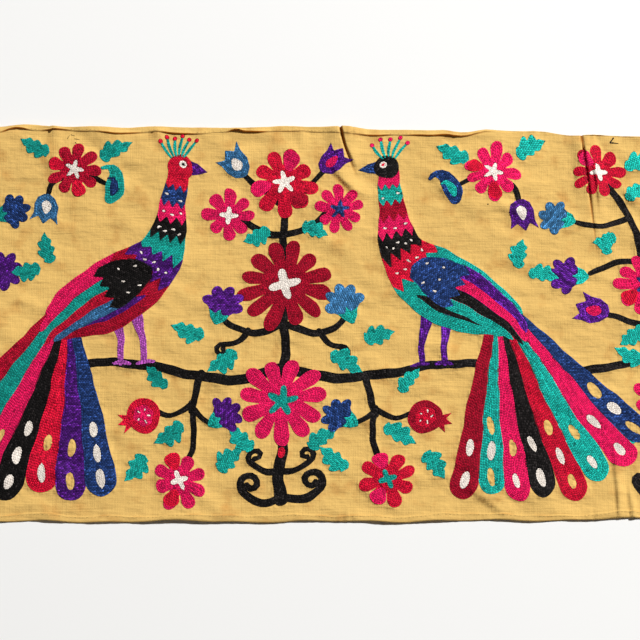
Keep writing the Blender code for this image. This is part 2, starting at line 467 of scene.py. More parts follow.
def leaf(x, y, heading, length, width):
    """A leaf with three round lobes down each side, no two alike, and a drawn-out tip."""
    lobes = 3
    t = np.linspace(0, 1, 6 * lobes + 1)
    full = width / 2 * np.sin(np.pi * t**0.8) ** 0.55
    bent = 0.08 * length * np.sin(np.pi * t)
    edges = []
    for side, shift in ((1, 0.5), (-1, 0.08)):
        phase = lobes * t + shift
        size = hand.uniform(0.8, 1.2, lobes + 2)[phase.astype(int)]
        lobe = np.abs(np.sin(np.pi * phase)) ** 0.8
        half = full * (0.52 + 0.62 * lobe * size) + 0.8
        half[-1] = 0
        ahead = t + 0.22 / lobes * lobe * np.sin(np.pi * t)
        ahead[-1] = 1.14
        edges.append(np.stack([ahead * length, side * half + bent], 1))
    outline = np.vstack([edges[0], edges[1][::-1][1:]])
    work(placed(outline, x, y, heading), "teal", "rows", heading + hand.uniform(-40, 40))


def paisley(x, y, heading, size, thread, heart):
    """A curled drop with a smaller drop inside it."""
    line = np.array([(0.0, 0.0), (0.22, -0.02), (0.5, 0.0), (0.78, 0.10), (0.92, 0.32), (0.82, 0.50)])
    widths = np.array([0.34, 0.56, 0.54, 0.36, 0.20, 0.12])
    for scale, tone in ((1.0, thread), (0.5, heart)):
        points = (line - (0.3, 0)) * scale + (0.3, 0)
        work(capped(Strip(placed(points, x, y, heading, size), widths * scale * size)), tone)


def roll_up(points, widths, radius, turns, side):
    """Adds a rolled end to a stem's points and widths, to the left for side 1 and the right for -1."""
    ahead = points[-1] - points[-2]
    facing = math.atan2(ahead[1], ahead[0])
    centre = points[-1] + radius * step_at(facing + side * math.pi / 2)
    start = facing - side * math.pi / 2
    width = widths[-1]
    steps = max(4, int(turns * 9))
    for k in range(1, steps + 1):
        t = k / steps
        angle = start + side * 2 * math.pi * turns * t
        points.append(centre + radius * (1 - 0.62 * t) * step_at(angle))
        widths.append(width * (1 - 0.2 * t))
    widths[-1] *= 1.5


def vine(points, widths, curl=None):
    """A black stem. Where its end is rolled up, curl has the radius, the turns and the side."""
    line = [np.array(point, float) for point in points]
    wide = list(np.interp(np.linspace(0, 1, len(line)), np.linspace(0, 1, len(widths)), widths))
    if curl:
        roll_up(line, wide, *curl)
    work(capped(Strip(np.array(line), np.array(wide))), "black")


def stem(side, points, widths, curl=None):
    """A stem drawn on the right, which is mirrored for side -1."""
    if curl:
        curl = (*curl[:2], side * curl[2])
    vine([(side * x, y) for x, y in points], widths, curl)


def leaves(side, rows):
    """Leaves drawn on the right: x, y, how far each leans outwards from upright, length and width."""
    for x, y, lean, length, width in rows:
        leaf(side * x, y, 90 - side * lean, length, width)


# ---- birds
NECK_BANDS = (0.0, 0.09, 0.165, 0.24, 0.32, 0.405, 0.50, 0.59)
WING_STRIPES = (-1.0, -0.45, 0.05, 0.52, 1.0)
BODY_STRIPES = (-1.0, -0.68, -0.34, -0.02, 0.30, 0.62, 1.0)
BODY_LINE = (
    (66, 268), (65, 246), (60, 216), (57, 184), (46, 150), (16, 119), (-24, 94), (-64, 74), (-98, 52),
)
BODY_WIDTHS = (27, 28, 35, 45, 65, 91, 95, 76, 44)
WING_LINE = ((38, 126), (14, 122), (-22, 106), (-60, 82), (-98, 48), (-122, 14))
WING_WIDTHS = (16, 50, 64, 56, 34, 9)
LEGS = (((-6, 0), (-10, 62)), ((26, 2), (18, 66)))  # foot and hip
EYE_LONG, EYE_WIDE = 25, 11.5  # the ovals on the plumes
TWO_EYES, THREE_EYES = (0.89, 0.70), (0.90, 0.75, 0.60)  # where they are along a plume
SEED_LONG, SEED_WIDE = 6.0, 4.0


class Bird:
    """A peacock in bands of thread that stands at x, y and faces the middle of the cloth."""

    def __init__(self, x, y, flip, look):
        self.x, self.y, self.flip, self.look = x, y, flip, look

    def draw(self):
        self.legs()
        self.tail()
        self.body()
        self.wing()
        self.head()

    def worked(self, points, thread, fill="round", angle=0.0):
        """Adds an area drawn in mm from the bird's feet, with +X ahead."""
        p = np.asarray(points, float) * self.look["scale"]
        work(np.stack([self.x + self.flip * p[:, 0], self.y + p[:, 1]], 1), thread, fill, angle)

    def seed(self, place):
        self.worked(oval(*place, SEED_LONG, SEED_WIDE, hand.uniform(-40, 40)), "white")

    def legs(self):
        for foot, hip in LEGS:
            knee = ((foot[0] + hip[0]) / 2 + 2, 32)
            toes = [(foot[0] - 9, -1), (foot[0] + 2, 2), (foot[0] + 14, -1)]
            self.worked(capped(Strip([foot, knee, hip], [8.5, 9.5, 18])), self.look["legs"])
            self.worked(capped(Strip(toes, [5, 6.5, 5])), self.look["legs"])

    def tail(self):
        look = self.look
        for k, thread in enumerate(look["plumes"]):
            share = k / (len(look["plumes"]) - 1)
            angle = math.radians(look["tail_from"] + (look["tail_to"] - look["tail_from"]) * share)
            reach = min(look["tail_length"], look["drop"] / abs(math.sin(angle))) * (0.97 + 0.03 * (k % 2))
            root = np.array([-100 + 34 * share, 66 - 26 * share])
            tip = np.array([-72, 58]) + reach * step_at(angle)
            middle = (root + tip) / 2 + np.array([-7 + 8 * share, -10 + 3 * share])
            tones = look["eyes"][k % len(look["eyes"])]
            eyes = zip(TWO_EYES, tones) if k % 3 else zip(THREE_EYES, (*tones, tones[0]))
            self.plume([root, middle, tip], thread, 3 - 6 * share, eyes)

    def plume(self, line, thread, slant, eyes):
        """A tail feather that widens to a round tip, with ovals of another thread or left bare."""
        width = self.look["plume_width"]
        shaft, tip = 0.9, 0.1  # shares of its length
        strip = Strip(line, [13, width * 0.66, width])
        rounding = shaft + tip * np.sin(np.linspace(0.25, np.pi / 2, 6))
        t = np.concatenate([np.linspace(0, shaft, 15), rounding])
        cap = np.sqrt(np.clip(1 - ((t - shaft) / tip) ** 2, 0, 1))
        s = np.where(t > shaft, cap, 1)
        outline = np.vstack([strip.at(t, s), strip.at(t[::-1][1:], -s[::-1][1:])])
        self.worked(outline, thread, "rows" if thread in STREAKY else "round", slant)
        for share, tone in eyes:
            long, wide = np.array([EYE_LONG, EYE_WIDE]) * hand.uniform(0.86, 1.1, 2)
            heading = strip.heading(share) + hand.uniform(-7, 7)
            self.worked(oval(*strip.at(share, 0.0), long, wide, heading), tone)

    def body(self):
        look = self.look
        strip = Strip(BODY_LINE, BODY_WIDTHS)
        for k, thread in enumerate(look["body"]):
            self.worked(band(strip, 0.50, 0.985, ("waves", 1, 7), BODY_STRIPES[k : k + 2]), thread)
        for k in reversed(range(len(look["neck"]))):
            teeth = 5 if k > 4 else 4 if k > 2 else 3
            start = max(0, NECK_BANDS[k] - 0.035)
            outline = band(strip, start, NECK_BANDS[k + 1], ("teeth", teeth, 9 + k))
            self.worked(outline, look["neck"][k], "rows", look["lean"] * (k % 3 - 1))
        for k, seeds in look["seeds"]:
            middle = (NECK_BANDS[k] + NECK_BANDS[k + 1]) / 2 + 0.006
            for n, s in enumerate(np.linspace(-0.62, 0.62, seeds)):
                self.seed(strip.at(middle - 0.012 * (1 - s * s) + 0.014 * (n % 2), s))

    def wing(self):
        strip = Strip(WING_LINE, WING_WIDTHS)
        for k, thread in enumerate(self.look["wing"]):
            end = 0.93 - 0.06 * abs(k - 1.5)
            self.worked(band(strip, 0.16, end, ("waves", 1, 8), WING_STRIPES[k : k + 2]), thread)
        self.worked(band(strip, 0.0, 0.34, ("teeth", 4, 12)), self.look["shoulder"], "rows", -30 * self.flip)
        for row, seeds in ((0.10, 2), (0.20, 3)):
            for s in np.linspace(-0.58, 0.58, seeds):
                self.seed(strip.at(row, s))

    def head(self):
        look = self.look
        t = np.linspace(0, 2 * np.pi, 20, endpoint=False)
        self.worked([(80, 280), (93, 276), (106, 266), (93, 262), (80, 260)], look["bill"])
        self.worked(polar(69, 270, 17, t), look["head"], "rows", 0)
        self.worked(polar(73, 273, 5.6, t), look["eye"][0])
        self.worked(polar(73.5, 273, 2.9, t), look["eye"][1])
        for k, angle in enumerate(np.linspace(125, 58, look["crest"])):
            ahead = step_at(math.radians(angle))
            foot = np.array([66, 270]) + 15 * ahead
            tip = foot + (21 + 3 * (k % 2)) * ahead
            self.worked(capped(Strip([foot, (foot + tip) / 2, tip], [3.4, 4.0, 4.4]), 3), "teal")
            self.worked(oval(*(tip + 4 * ahead), 6.5, 6.0, angle), look["crest_tips"])


LEFT_BIRD = {
    "scale": 0.98, "legs": "lilac", "lean": 8, "head": "crimson", "shoulder": "black", "bill": "purple",
    "eye": ("white", "black"), "neck": ("crimson", "navy", "pink", "black", "teal", "purple", "maroon"),
    "seeds": ((1, 2), (2, 3), (3, 4), (5, 5)),
    "body": ("pink", "black", "teal", "crimson", "purple", "maroon"),
    "wing": ("pink", "teal", "maroon", "blue"),
    "plumes": ("maroon", "teal", "pink", "black", "crimson", "purple", "navy"),
    "eyes": (("white", "white"), ("white", None), (None, None)),
    "plume_width": 43, "tail_from": 222, "tail_to": 281, "tail_length": 264, "drop": 244,
    "crest": 6, "crest_tips": "crimson",
}
RIGHT_BIRD = {
    "scale": 0.99, "legs": "purple", "lean": 6, "head": "black", "shoulder": "navy", "bill": "navy",
    "eye": ("white", "crimson"), "neck": ("pink", "teal", "maroon", "pink", "black", "crimson", "teal"),
    "seeds": ((1, 2), (3, 3), (4, 5), (5, 5)),
    "body": ("teal", "crimson", "purple", "pink", "black", "teal"),
    "wing": ("purple", "pink", "black", "teal"),
    "plumes": ("navy", "pink", "teal", "crimson", "black", "pink", "teal", "maroon"),
    "eyes": ((None, "white"), ("white", "white"), ("white", None)),
    "plume_width": 39, "tail_from": 219, "tail_to": 282, "tail_length": 262, "drop": 241,
    "crest": 5, "crest_tips": "pink",
}


# ---- the whole design
def tree():
    """The tree in the middle: root, trunk, branches and the bough that both birds stand on."""
    bough = [(0, -62), (60, -76), (125, -70), (190, -58), (262, -56), (340, -70), (420, -64), (480, -46)]
    vine([(0, -236), (-3, -205), (2, -165), (0, -130)], [18, 14, 12])
    for side in (1, -1):
        stem(side, [(0, -232), (26, -238), (48, -226)], [12, 11, 10], (15, 1.05, 1))
        stem(side, [(1, -196), (22, -196), (38, -184)], [9, 9, 8], (10.5, 0.9, 1))
        wavy = [(x, y + 3 * side * math.sin(x / 60)) for x, y in bough]
        stem(side, wavy, [13, 13, 12, 12, 11, 10], (17, 1.0, 1))
    vine([(0, -70), (3, -30), (-2, 10), (2, 60), (-2, 110), (1, 165)], [12, 11, 10, 10])
    for side in (1, -1):
        stem(side, [(0, 116), (26, 122), (48, 136), (62, 152)], [10, 9, 8])
        stem(side, [(0, -6), (34, -16), (62, -10), (80, 6)], [10, 9, 8])
        stem(side, [(44, -13), (58, -30), (78, -34)], [8, 7, 7], (8, 0.8, -1))
        stem(side, [(0, 156), (22, 176), (61, 209)], [9, 8, 7])
    flower(0, -104, 57, 11, "pink", (5, "teal", 0.36), 8)
    flower(0, 48, 62, 12, "maroon", (4, "white", 0.33), 15)
    flower(0, 190, 47, 9, "crimson", (5, "white", 0.34), 30, ((1, "pink"), (4, "pink"), (7, "maroon")))
    flower(-74, 148, 34, 8, "pink", (4, "white", 0.36), 0)
    flower(75, 150, 35, 9, "pink", (5, "navy", 0.38), 12)
    carnation(-84, 2, 70, 46, "purple")
    carnation(86, 4, 112, 46, "blue")
    tulip(-52, 202, 132, 38, "blue", "white")
    tulip(54, 204, 50, 38, "purple", "pink")
    for x, y, heading, length, width in (
        (-20, 126, 205, 34, 22), (22, 128, -22, 34, 22), (-58, -42, 215, 42, 23), (60, -42, -30, 42, 23),
        (-100, -22, 160, 40, 23), (102, -22, 15, 40, 23), (-36, -166, 140, 38, 22), (36, -168, 38, 38, 22),
    ):
        leaf(x, y, heading, length, width)
    work(oval(0, -172, 16, 10, 90), "crimson")


def below(side, tones):
    """The spray that hangs from the bough between the trunk and a tail."""
    stem(side, [(104, -72), (112, -104), (119, -122)], [10, 9, 8])
    stem(side, [(116, -112), (142, -128), (166, -122)], [8, 7, 7])
    stem(side, [(118, -112), (114, -158), (128, -192)], [8, 8, 7])
    stem(side, [(118, -116), (106, -128), (90, -135)], [8, 7, 6])
    pomegranate(side * 182, -128, 90 - side * 110, 44, tones[0], tones[1], "white")
    flower(side * 134, -210, 37, 8, tones[2], (4, tones[4], 0.35), 20, ((2, tones[3]), (5, tones[3])))
    carnation(side * 90, -134, 90 + side * 60, 42, tones[5])
    leaves(side, ((128, -140, 120, 42, 24), (84, -196, -50, 40, 23), (178, -178, 140, 38, 23)))
    leaves(side, ((150, -92, 40, 36, 20),))


def outer(side, tones):
    """The flowering tree at one end, from a root scroll up past the tail."""
    trunk = [(492, -236), (498, -180), (488, -120), (500, -60), (492, 0), (474, 56), (466, 110), (450, 160)]
    stem(side, [*trunk, (424, 196)], [16, 14, 12, 12, 10, 9])
    stem(side, [(492, -230), (470, -236), (456, -222)], [12, 10, 9], (10, 1.0, -1))
    stem(side, [(471, 80), (440, 84), (400, 66)], [9, 8, 8])
    stem(side, [(456, 146), (420, 134), (384, 140)], [9, 8, 7])
    stem(side, [(468, 96), (490, 116), (500, 140)], [8, 8, 7])
    stem(side, [(492, -4), (452, -2), (410, 10)], [8, 8, 7])
    flower(side * 414, 210, 37, 9, tones[0], (4, "white", 0.35), 10, ((3, tones[1]),))
    flower(side * 472, 50, 44, 10, tones[2], (5, tones[4], 0.36), 0, ((2, tones[3]), (6, tones[3])))
    flower(side * 490, -98, 40, 9, tones[1], (4, "white", 0.35), 5)
    flower(side * 503, 158, 31, 8, tones[3], (4, "white", 0.36), 5)
    carnation(side * 390, 62, 90 + side * 80, 46, tones[5])
    carnation(side * 376, 142, 90 + side * 75, 42, tones[6])
    tulip(side * 418, 8, 90 + side * 70, 40, tones[5], "pink")
    pomegranate(side * 497, -184, 90 + side * 10, 42, tones[2], tones[3], "white")
    leaves(side, ((452, 172, 50, 34, 21), (436, 116, -100, 30, 19), (450, 222, 76, 40, 22)))
    leaves(side, ((420, 92, 10, 30, 19), (466, -6, -130, 36, 21), (500, 0, 40, 32, 20)))
    leaves(side, ((470, -52, -70, 40, 22), (468, -150, -80, 40, 22), (508, -140, 70, 26, 17)))


def spray(side, tones):
    """A small spray over a bird's back."""
    stem(side, [(232, 186), (262, 200), (298, 188), (308, 168)], [7, 8, 7])
    flower(side * 272, 204, 37, 9, tones[0], (5, tones[2], 0.35), 0, ((4, tones[1]), (7, tones[1])))
    paisley(side * 226, 166, 90 + side * 20, 44, tones[3], tones[4])
    leaves(side, ((240, 222, -66, 40, 22), (304, 228, 66, 38, 21)))
    tulip(side * 309, 170, 90 - side * 172, 38, tones[5], "white")
    leaves(side, ((306, 78, 8, 36, 21), (318, 70, 100, 36, 21)))


LOOSE_ENDS = (  # x, y, heading, length and width
    (431, 249, 50, 8.5, 1.8), (431, 249, 4, 11, 1.5), (267, 160, 20, 2.0, 1.6), (-283, 246, 60, 5, 0.8),
    (-279, 251, -20, 6, 0.8), (-274, 245, -12, 7, 0.9), (-272, 240, -50, 4, 0.8), (-160, 104, 80, 3, 0.7),
)


def loose_ends():
    """Short ends of thread that stick out of the cloth."""
    for x, y, heading, length, width in LOOSE_ENDS:
        end = [(0, -width / 2), (length, -width / 4), (length, width / 4), (0, width / 2)]
        work(placed(end, x, y, heading), "black")


def design():
    loose_ends()
    tree()
    below(-1, ("crimson", "pink", "pink", "crimson", "white", "purple"))
    below(1, ("maroon", "crimson", "crimson", "pink", "teal", "navy"))
    outer(-1, ("pink", "crimson", "maroon", "crimson", "teal", "purple", "navy"))
    outer(1, ("crimson", "pink", "pink", "crimson", "navy", "purple", "blue"))
    spray(-1, ("maroon", "crimson", "white", "teal", "navy", "blue"))
    spray(1, ("pink", "crimson", "white", "navy", "teal", "purple"))
    Bird(-205, -56, 1, LEFT_BIRD).draw()
    Bird(205, -56, -1, RIGHT_BIRD).draw()
    return REGIONS


# ---- laying the flat cloth on its folds
def dome(share):
    """1 at 0, falling smoothly to 0 at 1 and beyond."""
    return np.clip(1 - share * share, 0, None) ** 2


def one_fold(points, start, bend, end, right, left, height, peak):
    """The height that one fold gives to each of the points."""
    t = np.linspace(0, 1, CREST_STEPS + 1)[:, None]
    line = (1 - t) ** 2 * np.array(start) + 2 * t * (1 - t) * np.array(bend) + t * t * np.array(end)
    reach = max(right, left)
    near = ((points > line.min(0) - reach) & (points < line.max(0) + reach)).all(1)
    close = points[near]
    nearest = np.full(len(close), np.inf)
    side = np.zeros(len(close))
    share = np.zeros(len(close))
    for step in range(CREST_STEPS):
        along = line[step + 1] - line[step]
        offset = close - line[step]
        t = np.clip(offset @ along / (along @ along), 0, 1)
        away = offset - t[:, None] * along
        distance = np.hypot(away[:, 0], away[:, 1])
        closer = distance < nearest
        nearest = np.where(closer, distance, nearest)
        side = np.where(closer, along[0] * offset[:, 1] - along[1] * offset[:, 0], side)
        share = np.where(closer, (step + t) / CREST_STEPS, share)
    slope = np.where(side > 0, left, right)
    before = (peak - share) / max(peak, LEAST)
    after = (share - peak) / max(1 - peak, LEAST)
    raised = np.zeros(len(points))
    raised[near] = height * dome(nearest / slope) * dome(np.where(share < peak, before, after))
    return raised


def folded(points, rows):
    """The height that a table's folds give to each of the points."""
    return sum(one_fold(points, **dict(zip(FOLD_COLUMNS, row))) for row in rows)


def lift(points):
    """How far the cloth stands off the surface at each of the points."""
    raised = folded(points, FOLDS + CREASES)
    for x, y, along, across, height in SWELLS:
        raised += height * dome(np.hypot((points[:, 0] - x) / along, (points[:, 1] - y) / across))
    return raised


def ripple(place, waves):
    return sum(height * np.sin(2 * math.pi * place / length + phase) for height, length, phase in waves)


def edge_shift(points):
    """How far each point moves so that the cloth gets its uneven outline."""
    x, y = points.T
    drawn = np.clip((x - DRAW_STARTS) / (LENGTH / 2 - DRAW_STARTS), 0, 1) ** 1.5
    top = ripple(x, WAVES) - TOP_DRAWN_IN * drawn
    bottom = ripple(x + LENGTH / 2, WAVES) + BOTTOM_DRAWN_IN * drawn
    share = y / WIDTH + 0.5
    return np.stack([ripple(y, END_WAVES) * x / (LENGTH / 2), share * top + (1 - share) * bottom], 1)


def outline_middle():
    """The middle of the uneven outline, which lies over the origin."""
    x = np.linspace(-LENGTH / 2, LENGTH / 2, 400)
    y = np.linspace(-WIDTH / 2, WIDTH / 2, 400)
    rim = [np.stack([x, np.full(400, side * WIDTH / 2)], 1) for side in (1, -1)]
    rim += [np.stack([np.full(400, side * LENGTH / 2), y], 1) for side in (1, -1)]
    rim = np.vstack(rim)
    rim = rim + edge_shift(rim)
    return (rim.max(0) + rim.min(0)) / 2


MIDDLE = outline_middle()


def turned_under(points):
    """Where the hem along the top is turned under rather than over, from 0 to 1."""
    start, end = HEM_ROLLED
    share = np.clip((points[:, 0] - start) / (end - start), 0, 1) * (points[:, 1] > 0)
    return share * share * (3 - 2 * share)


def hem_wander(points, turn, long_edge):
    """How far the hem's free edge wanders towards the rim, at a place on the way round the cloth."""
    swings = (height * np.sin(turn / length + phase) for height, length, phase in HEM_SWINGS)
    wander = sum(swings, HEM_WANDERS)
    if long_edge:
        x, y = points.T
        for middle, reach, _, narrower in HEM_GAPES:
            wander += narrower * dome((x - middle) / reach) * (y > 0)
        wander += (HEM - 1.6 - wander) * turned_under(points)
    return wander


def drift(points):
    """How far the hem's free edge and the cloth beside it wander, and the top edge where it dips."""
    x, y = points.T
    moved = []
    for place, other, size in ((x, y, LENGTH), (y, x, WIDTH)):
        rim = size / 2 - np.abs(place)
        wander = hem_wander(points, other + 60 * np.sign(place), size == WIDTH)
        inside = np.clip(1 - (rim - HEM - HEM_STEP) / WANDER_FADES, 0, 1)
        moved.append(np.sign(place) * wander * np.where(rim < HEM, rim / HEM, inside))
    dip = sum(depth * dome((x - middle) / reach) for middle, reach, depth in TOP_DIPS)
    moved[1] -= dip * dome(np.clip((WIDTH / 2 - y) / DIPS_FADE, 0, 1))
    return np.stack(moved, 1)


def flat_places(points):
    """Where the points of the evenly drawn cloth lie on the uneven one."""
    return points + edge_shift(points) + drift(points) - MIDDLE


def from_rim(points):
    """How far inside the cloth's edge each point lies."""
    return np.minimum(WIDTH / 2 - np.abs(points[:, 1]), LENGTH / 2 - np.abs(points[:, 0]))


def along_rim(points):
    """A place along the nearer edge for each point."""
    x, y = points.T
    return np.where(WIDTH / 2 - np.abs(y) < LENGTH / 2 - np.abs(x), x + 40 * np.sign(y), y + 90 * np.sign(x))


def wrinkles(points):
    """The fine unevenness of the laid cloth: its ripples, and its puckers beside the hem."""
    x, y = points.T
    total = np.zeros(len(points))
    for angle, size, phase, gate in RIPPLES:
        heading = math.pi / 2 + 1.5 * (angle - 0.5)
        length = 15 + 46 * size
        along = x * math.cos(heading) + y * math.sin(heading)
        across = y * math.cos(heading) - x * math.sin(heading)
        patch = np.clip(np.sin(along / 43 + TURN * gate) * np.sin(across / 57 + TURN * phase), 0, 1)
        bend = 3.0 * np.sin(across / 31 + TURN * gate)
        crest = 1 + np.sin(2 * math.pi * (along + bend) / length + TURN * phase)
        total += RIPPLE_HEIGHT * length**0.75 * patch * crest
    inside = np.clip(from_rim(points) - HEM, 0, None)
    turn = along_rim(points)
    pucker = 0.5 + 0.5 * np.sin(turn / 2.3 + 2.4 * np.sin(turn / 23.0) + 1.7 * np.sin(turn / 7.1))
    return np.clip(total - REST, 0, None) + PUCKER_HEIGHT * pucker * np.exp(-((inside / HEM) ** 2))


def stations(length, crowded):
    """Places along one side of the sheet, closer together at its folds, with a hem's lines at each end."""
    inner = length / 2 - INNER_LINES
    fine = np.linspace(-inner, inner, 4000)
    density = np.ones_like(fine)
    for middle, reach, more in crowded:
        density += more * np.exp(-(((fine - middle) / reach) ** 2))
    total = np.cumsum(density) * (fine[1] - fine[0]) / SHEET_CELL
    total -= total[0]
    inside = np.interp(np.linspace(0, total[-1], round(total[-1]) + 1), total, fine)
    rim = length / 2 - RIM_LINES
    return np.concatenate([-rim, inside, rim[::-1]])


STATIONS = (stations(LENGTH, CROWDED_ALONG), stations(WIDTH, CROWDED_ACROSS))
NODES = np.stack(np.meshgrid(*STATIONS), -1)
FLAT_NODES = NODES.reshape(-1, 2)
UNDERSIDE = (lift(flat_places(FLAT_NODES)) + wrinkles(FLAT_NODES)).reshape(NODES.shape[:2])


def underside(points):
    """The height of the sheet's underside, on the flat triangles that it is made of."""
    cell, share = [], []
    for k in (0, 1):
        place = STATIONS[k]
        low = np.clip(np.searchsorted(place, points[:, k], side="right") - 1, 0, len(place) - 2)
        cell.append(low)
        share.append((points[:, k] - place[low]) / (place[low + 1] - place[low]))
    (i, j), (u, v) = cell, share
    near, far = UNDERSIDE[j, i], UNDERSIDE[j + 1, i + 1]
    right, above = UNDERSIDE[j, i + 1], UNDERSIDE[j + 1, i]
    lower = u * (right - near) + v * (far - right)
    upper = v * (above - near) + u * (far - above)
    return near + np.where(u > v, lower, upper)


def lay(points, above=0.0):
    """Flat places in mm become places in metres on the laid cloth, this far above its underside."""
    points = np.asarray(points, float)
    return np.column_stack([flat_places(points), underside(points) + above]) * MM


# ---- inside and outside an outline
def winding(points, outline):
    """How many times the outline runs round each of the points."""
    a, b = outline, np.roll(outline, -1, axis=0)
    x, y = points[:, 0:1], points[:, 1:2]
    turn = (b[:, 0] - a[:, 0]) * (y - a[:, 1]) - (x - a[:, 0]) * (b[:, 1] - a[:, 1])
    up = (a[:, 1] <= y) & (b[:, 1] > y) & (turn > 0)
    down = (a[:, 1] > y) & (b[:, 1] <= y) & (turn < 0)
    return up.sum(1) - down.sum(1)


def twice_area(outline):
    """Twice the outline's area, negative where it runs clockwise."""
    x, y = outline.T
    return (x * np.roll(y, -1) - y * np.roll(x, -1)).sum()


def within(points, outline):
    """Which points the outline runs round, apart from small loops that it makes the other way."""
    return winding(points, outline) * np.sign(twice_area(outline)) > 0


def depth_inside(points, outline):
    """The distance from each point to the outline, negative outside it."""
    a, b = outline, np.roll(outline, -1, axis=0)
    side = b - a
    size = np.maximum((side**2).sum(1), LEAST)
    offset = points[:, None, :] - a[None]
    t = np.clip((offset * side).sum(2) / size, 0, 1)
    away = offset - t[..., None] * side
    distance = np.sqrt((away**2).sum(2).min(1))
    return np.where(winding(points, outline) != 0, distance, -distance)


def depth_grid(outline):
    """The depth on a grid over the outline: its low corner and the values."""
    low = outline.min(0) - 2 * CELL
    count = np.ceil((outline.max(0) + 2 * CELL - low) / CELL).astype(int) + 1
    x = low[0] + CELL * np.arange(count[0])
    y = low[1] + CELL * np.arange(count[1])
    points = np.stack(np.meshgrid(x, y), -1).reshape(-1, 2)
    batches = np.array_split(points, max(1, len(points) * len(outline) // DEPTHS_AT_ONCE))
    values = np.concatenate([depth_inside(batch, outline) for batch in batches])
    return low, values.reshape(count[1], count[0])


# Which sides of a cell a level line joins, by which corners lie inside; sides run bottom, right, top, left
JOINS = {
    1: ((3, 0),), 2: ((0, 1),), 3: ((3, 1),), 4: ((1, 2),), 5: ((3, 2), (1, 0)), 6: ((0, 2),), 7: ((3, 2),),
    8: ((2, 3),), 9: ((2, 0),), 10: ((0, 3), (2, 1)), 11: ((2, 1),), 12: ((1, 3),), 13: ((1, 0),),
    14: ((0, 3),),
}


def crossing(side, values, level):
    """The column and row at which a side of the grid's cells has this level."""
    rows, columns = values.shape
    up, k = divmod(int(side), rows * columns)
    r, c = divmod(k, columns)
    here = values[r, c]
    there = values[r + 1, c] if up else values[r, c + 1]
    t = (level - here) / (there - here)
    return (c, r + t) if up else (c + t, r)


def level_lines(low, values, level):
    """Closed lines along which the grid's values have this level."""
    rows, columns = values.shape
    inside = values > level
    code = inside[:-1, :-1] * 1 + inside[:-1, 1:] * 2 + inside[1:, 1:] * 4 + inside[1:, :-1] * 8
    upright = rows * columns  # added to a side's number where it runs up the grid
    follows = {}
    for r, c in zip(*np.nonzero((code > 0) & (code < 15))):
        corner = r * columns + c
        sides = (corner, upright + corner + 1, corner + columns, upright + corner)
        for start, end in JOINS[int(code[r, c])]:
            follows[sides[start]] = sides[end]
    lines = []
    while follows:
        first, here = follows.popitem()
        line = [first, here]
        while here in follows:
            here = follows.pop(here)
            line.append(here)
        lines.append(low + CELL * np.array([crossing(side, values, level) for side in line]))
    return lines


# ---- rows of stitches
def stitches_along(line, phase):
    """A row of stitches along a line: start and end places."""
    total = lengths_along(line)
    if total[-1] < SHORTEST_ROW:
        return np.zeros((0, 4))
    count = max(2, round(total[-1] / STITCH))
    marks = (np.arange(count + 1) + phase) / count * total[-1]
    closed = np.hypot(*(line[0] - line[-1])) < CELL * 2
    marks = np.mod(marks, total[-1]) if closed else np.clip(marks - phase / count * total[-1], 0, total[-1])
    spots = between(marks, total, line)
    return np.hstack([spots[:-1], spots[1:]])


def rows_at(low, values, level, dice):
    """The rows that lie this deep inside an outline."""
    lines = [line for line in level_lines(low, values, level) if len(line) > 3]
    return [stitches_along(line, dice.uniform()) for line in lines]


def round_rows(low, values, dice):
    """Rows that follow the outline inwards."""
    levels = np.arange(FIRST_ROW, values.max(), PITCH)
    return [row for level in levels for row in rows_at(low, values, level, dice)]


def crossings(outline, y):
    """Where a level line crosses an outline, in order, and how often the outline runs round it after each."""
    a, b = outline, np.roll(outline, -1, axis=0)
    crossed = (a[:, 1] <= y) != (b[:, 1] <= y)
    p, q = a[crossed], b[crossed]
    x = p[:, 0] + (y - p[:, 1]) / (q[:, 1] - p[:, 1]) * (q[:, 0] - p[:, 0])
    order = np.argsort(x)
    turns = np.cumsum(np.where(q[:, 1] > p[:, 1], 1, -1)[order])
    return x[order], turns


def brick_marks(start, end, row, dice):
    """Where the stitches of a straight row meet: every other row is half a stitch on."""
    shift = STITCH * (0.5 * (row % 2) + dice.uniform(-0.12, 0.12))
    first = math.floor((start - shift) / STITCH)
    marks = np.arange(first, (end - shift) / STITCH + 1) * STITCH + shift
    marks = marks[(marks > start + SHORTEST_END) & (marks < end - SHORTEST_END)]
    return np.concatenate([[start], marks, [end]])


def straight_rows(low, values, outline, angle, dice):
    """One row along the outline, and straight rows across it at an angle, laid like bricks."""
    found = rows_at(low, values, FIRST_ROW, dice)
    c, s = math.cos(math.radians(angle)), math.sin(math.radians(angle))
    turned = outline @ np.array([[c, -s], [s, c]])
    back = np.array([[c, s], [-s, c]])
    inset = PITCH * 1.05
    slant = PITCH * 0.18
    for row in range(math.floor(turned[:, 1].min() / PITCH) + 1, math.ceil(turned[:, 1].max() / PITCH)):
        y = row * PITCH
        x, turns = crossings(turned, y)
        for start, end, inside in zip(x + inset, x[1:] - inset, turns):
            if not inside or end - start < SHORTEST_STRAIGHT:
                continue
            marks = brick_marks(start, end, row, dice)
            near = np.stack([marks[:-1], np.full(len(marks) - 1, y - slant)], 1)
            far = np.stack([marks[1:], np.full(len(marks) - 1, y + slant)], 1)
            found.append(np.hstack([near @ back, far @ back]))
    return found


# ---- stitches in the gaps between rows
def covered_cells(low, shape, stitches):
    """Which cells of the grid lie under these stitches."""
    covered = np.zeros(shape, bool)
    ends = np.array([shape[1], shape[0]]) - 1
    for t in (0.04, 0.35, 0.65, 0.96):
        place = stitches[:, :2] * (1 - t) + stitches[:, 2:] * t
        cell = np.round((place - low) / CELL).astype(int)
        for shift in np.ndindex(5, 5):
            near = cell + np.array(shift) - 2
            hidden = np.hypot(*(low + CELL * near - place).T) < COVERS
            x, y = np.clip(near[hidden], 0, ends).T
            covered[y, x] = True
    return covered


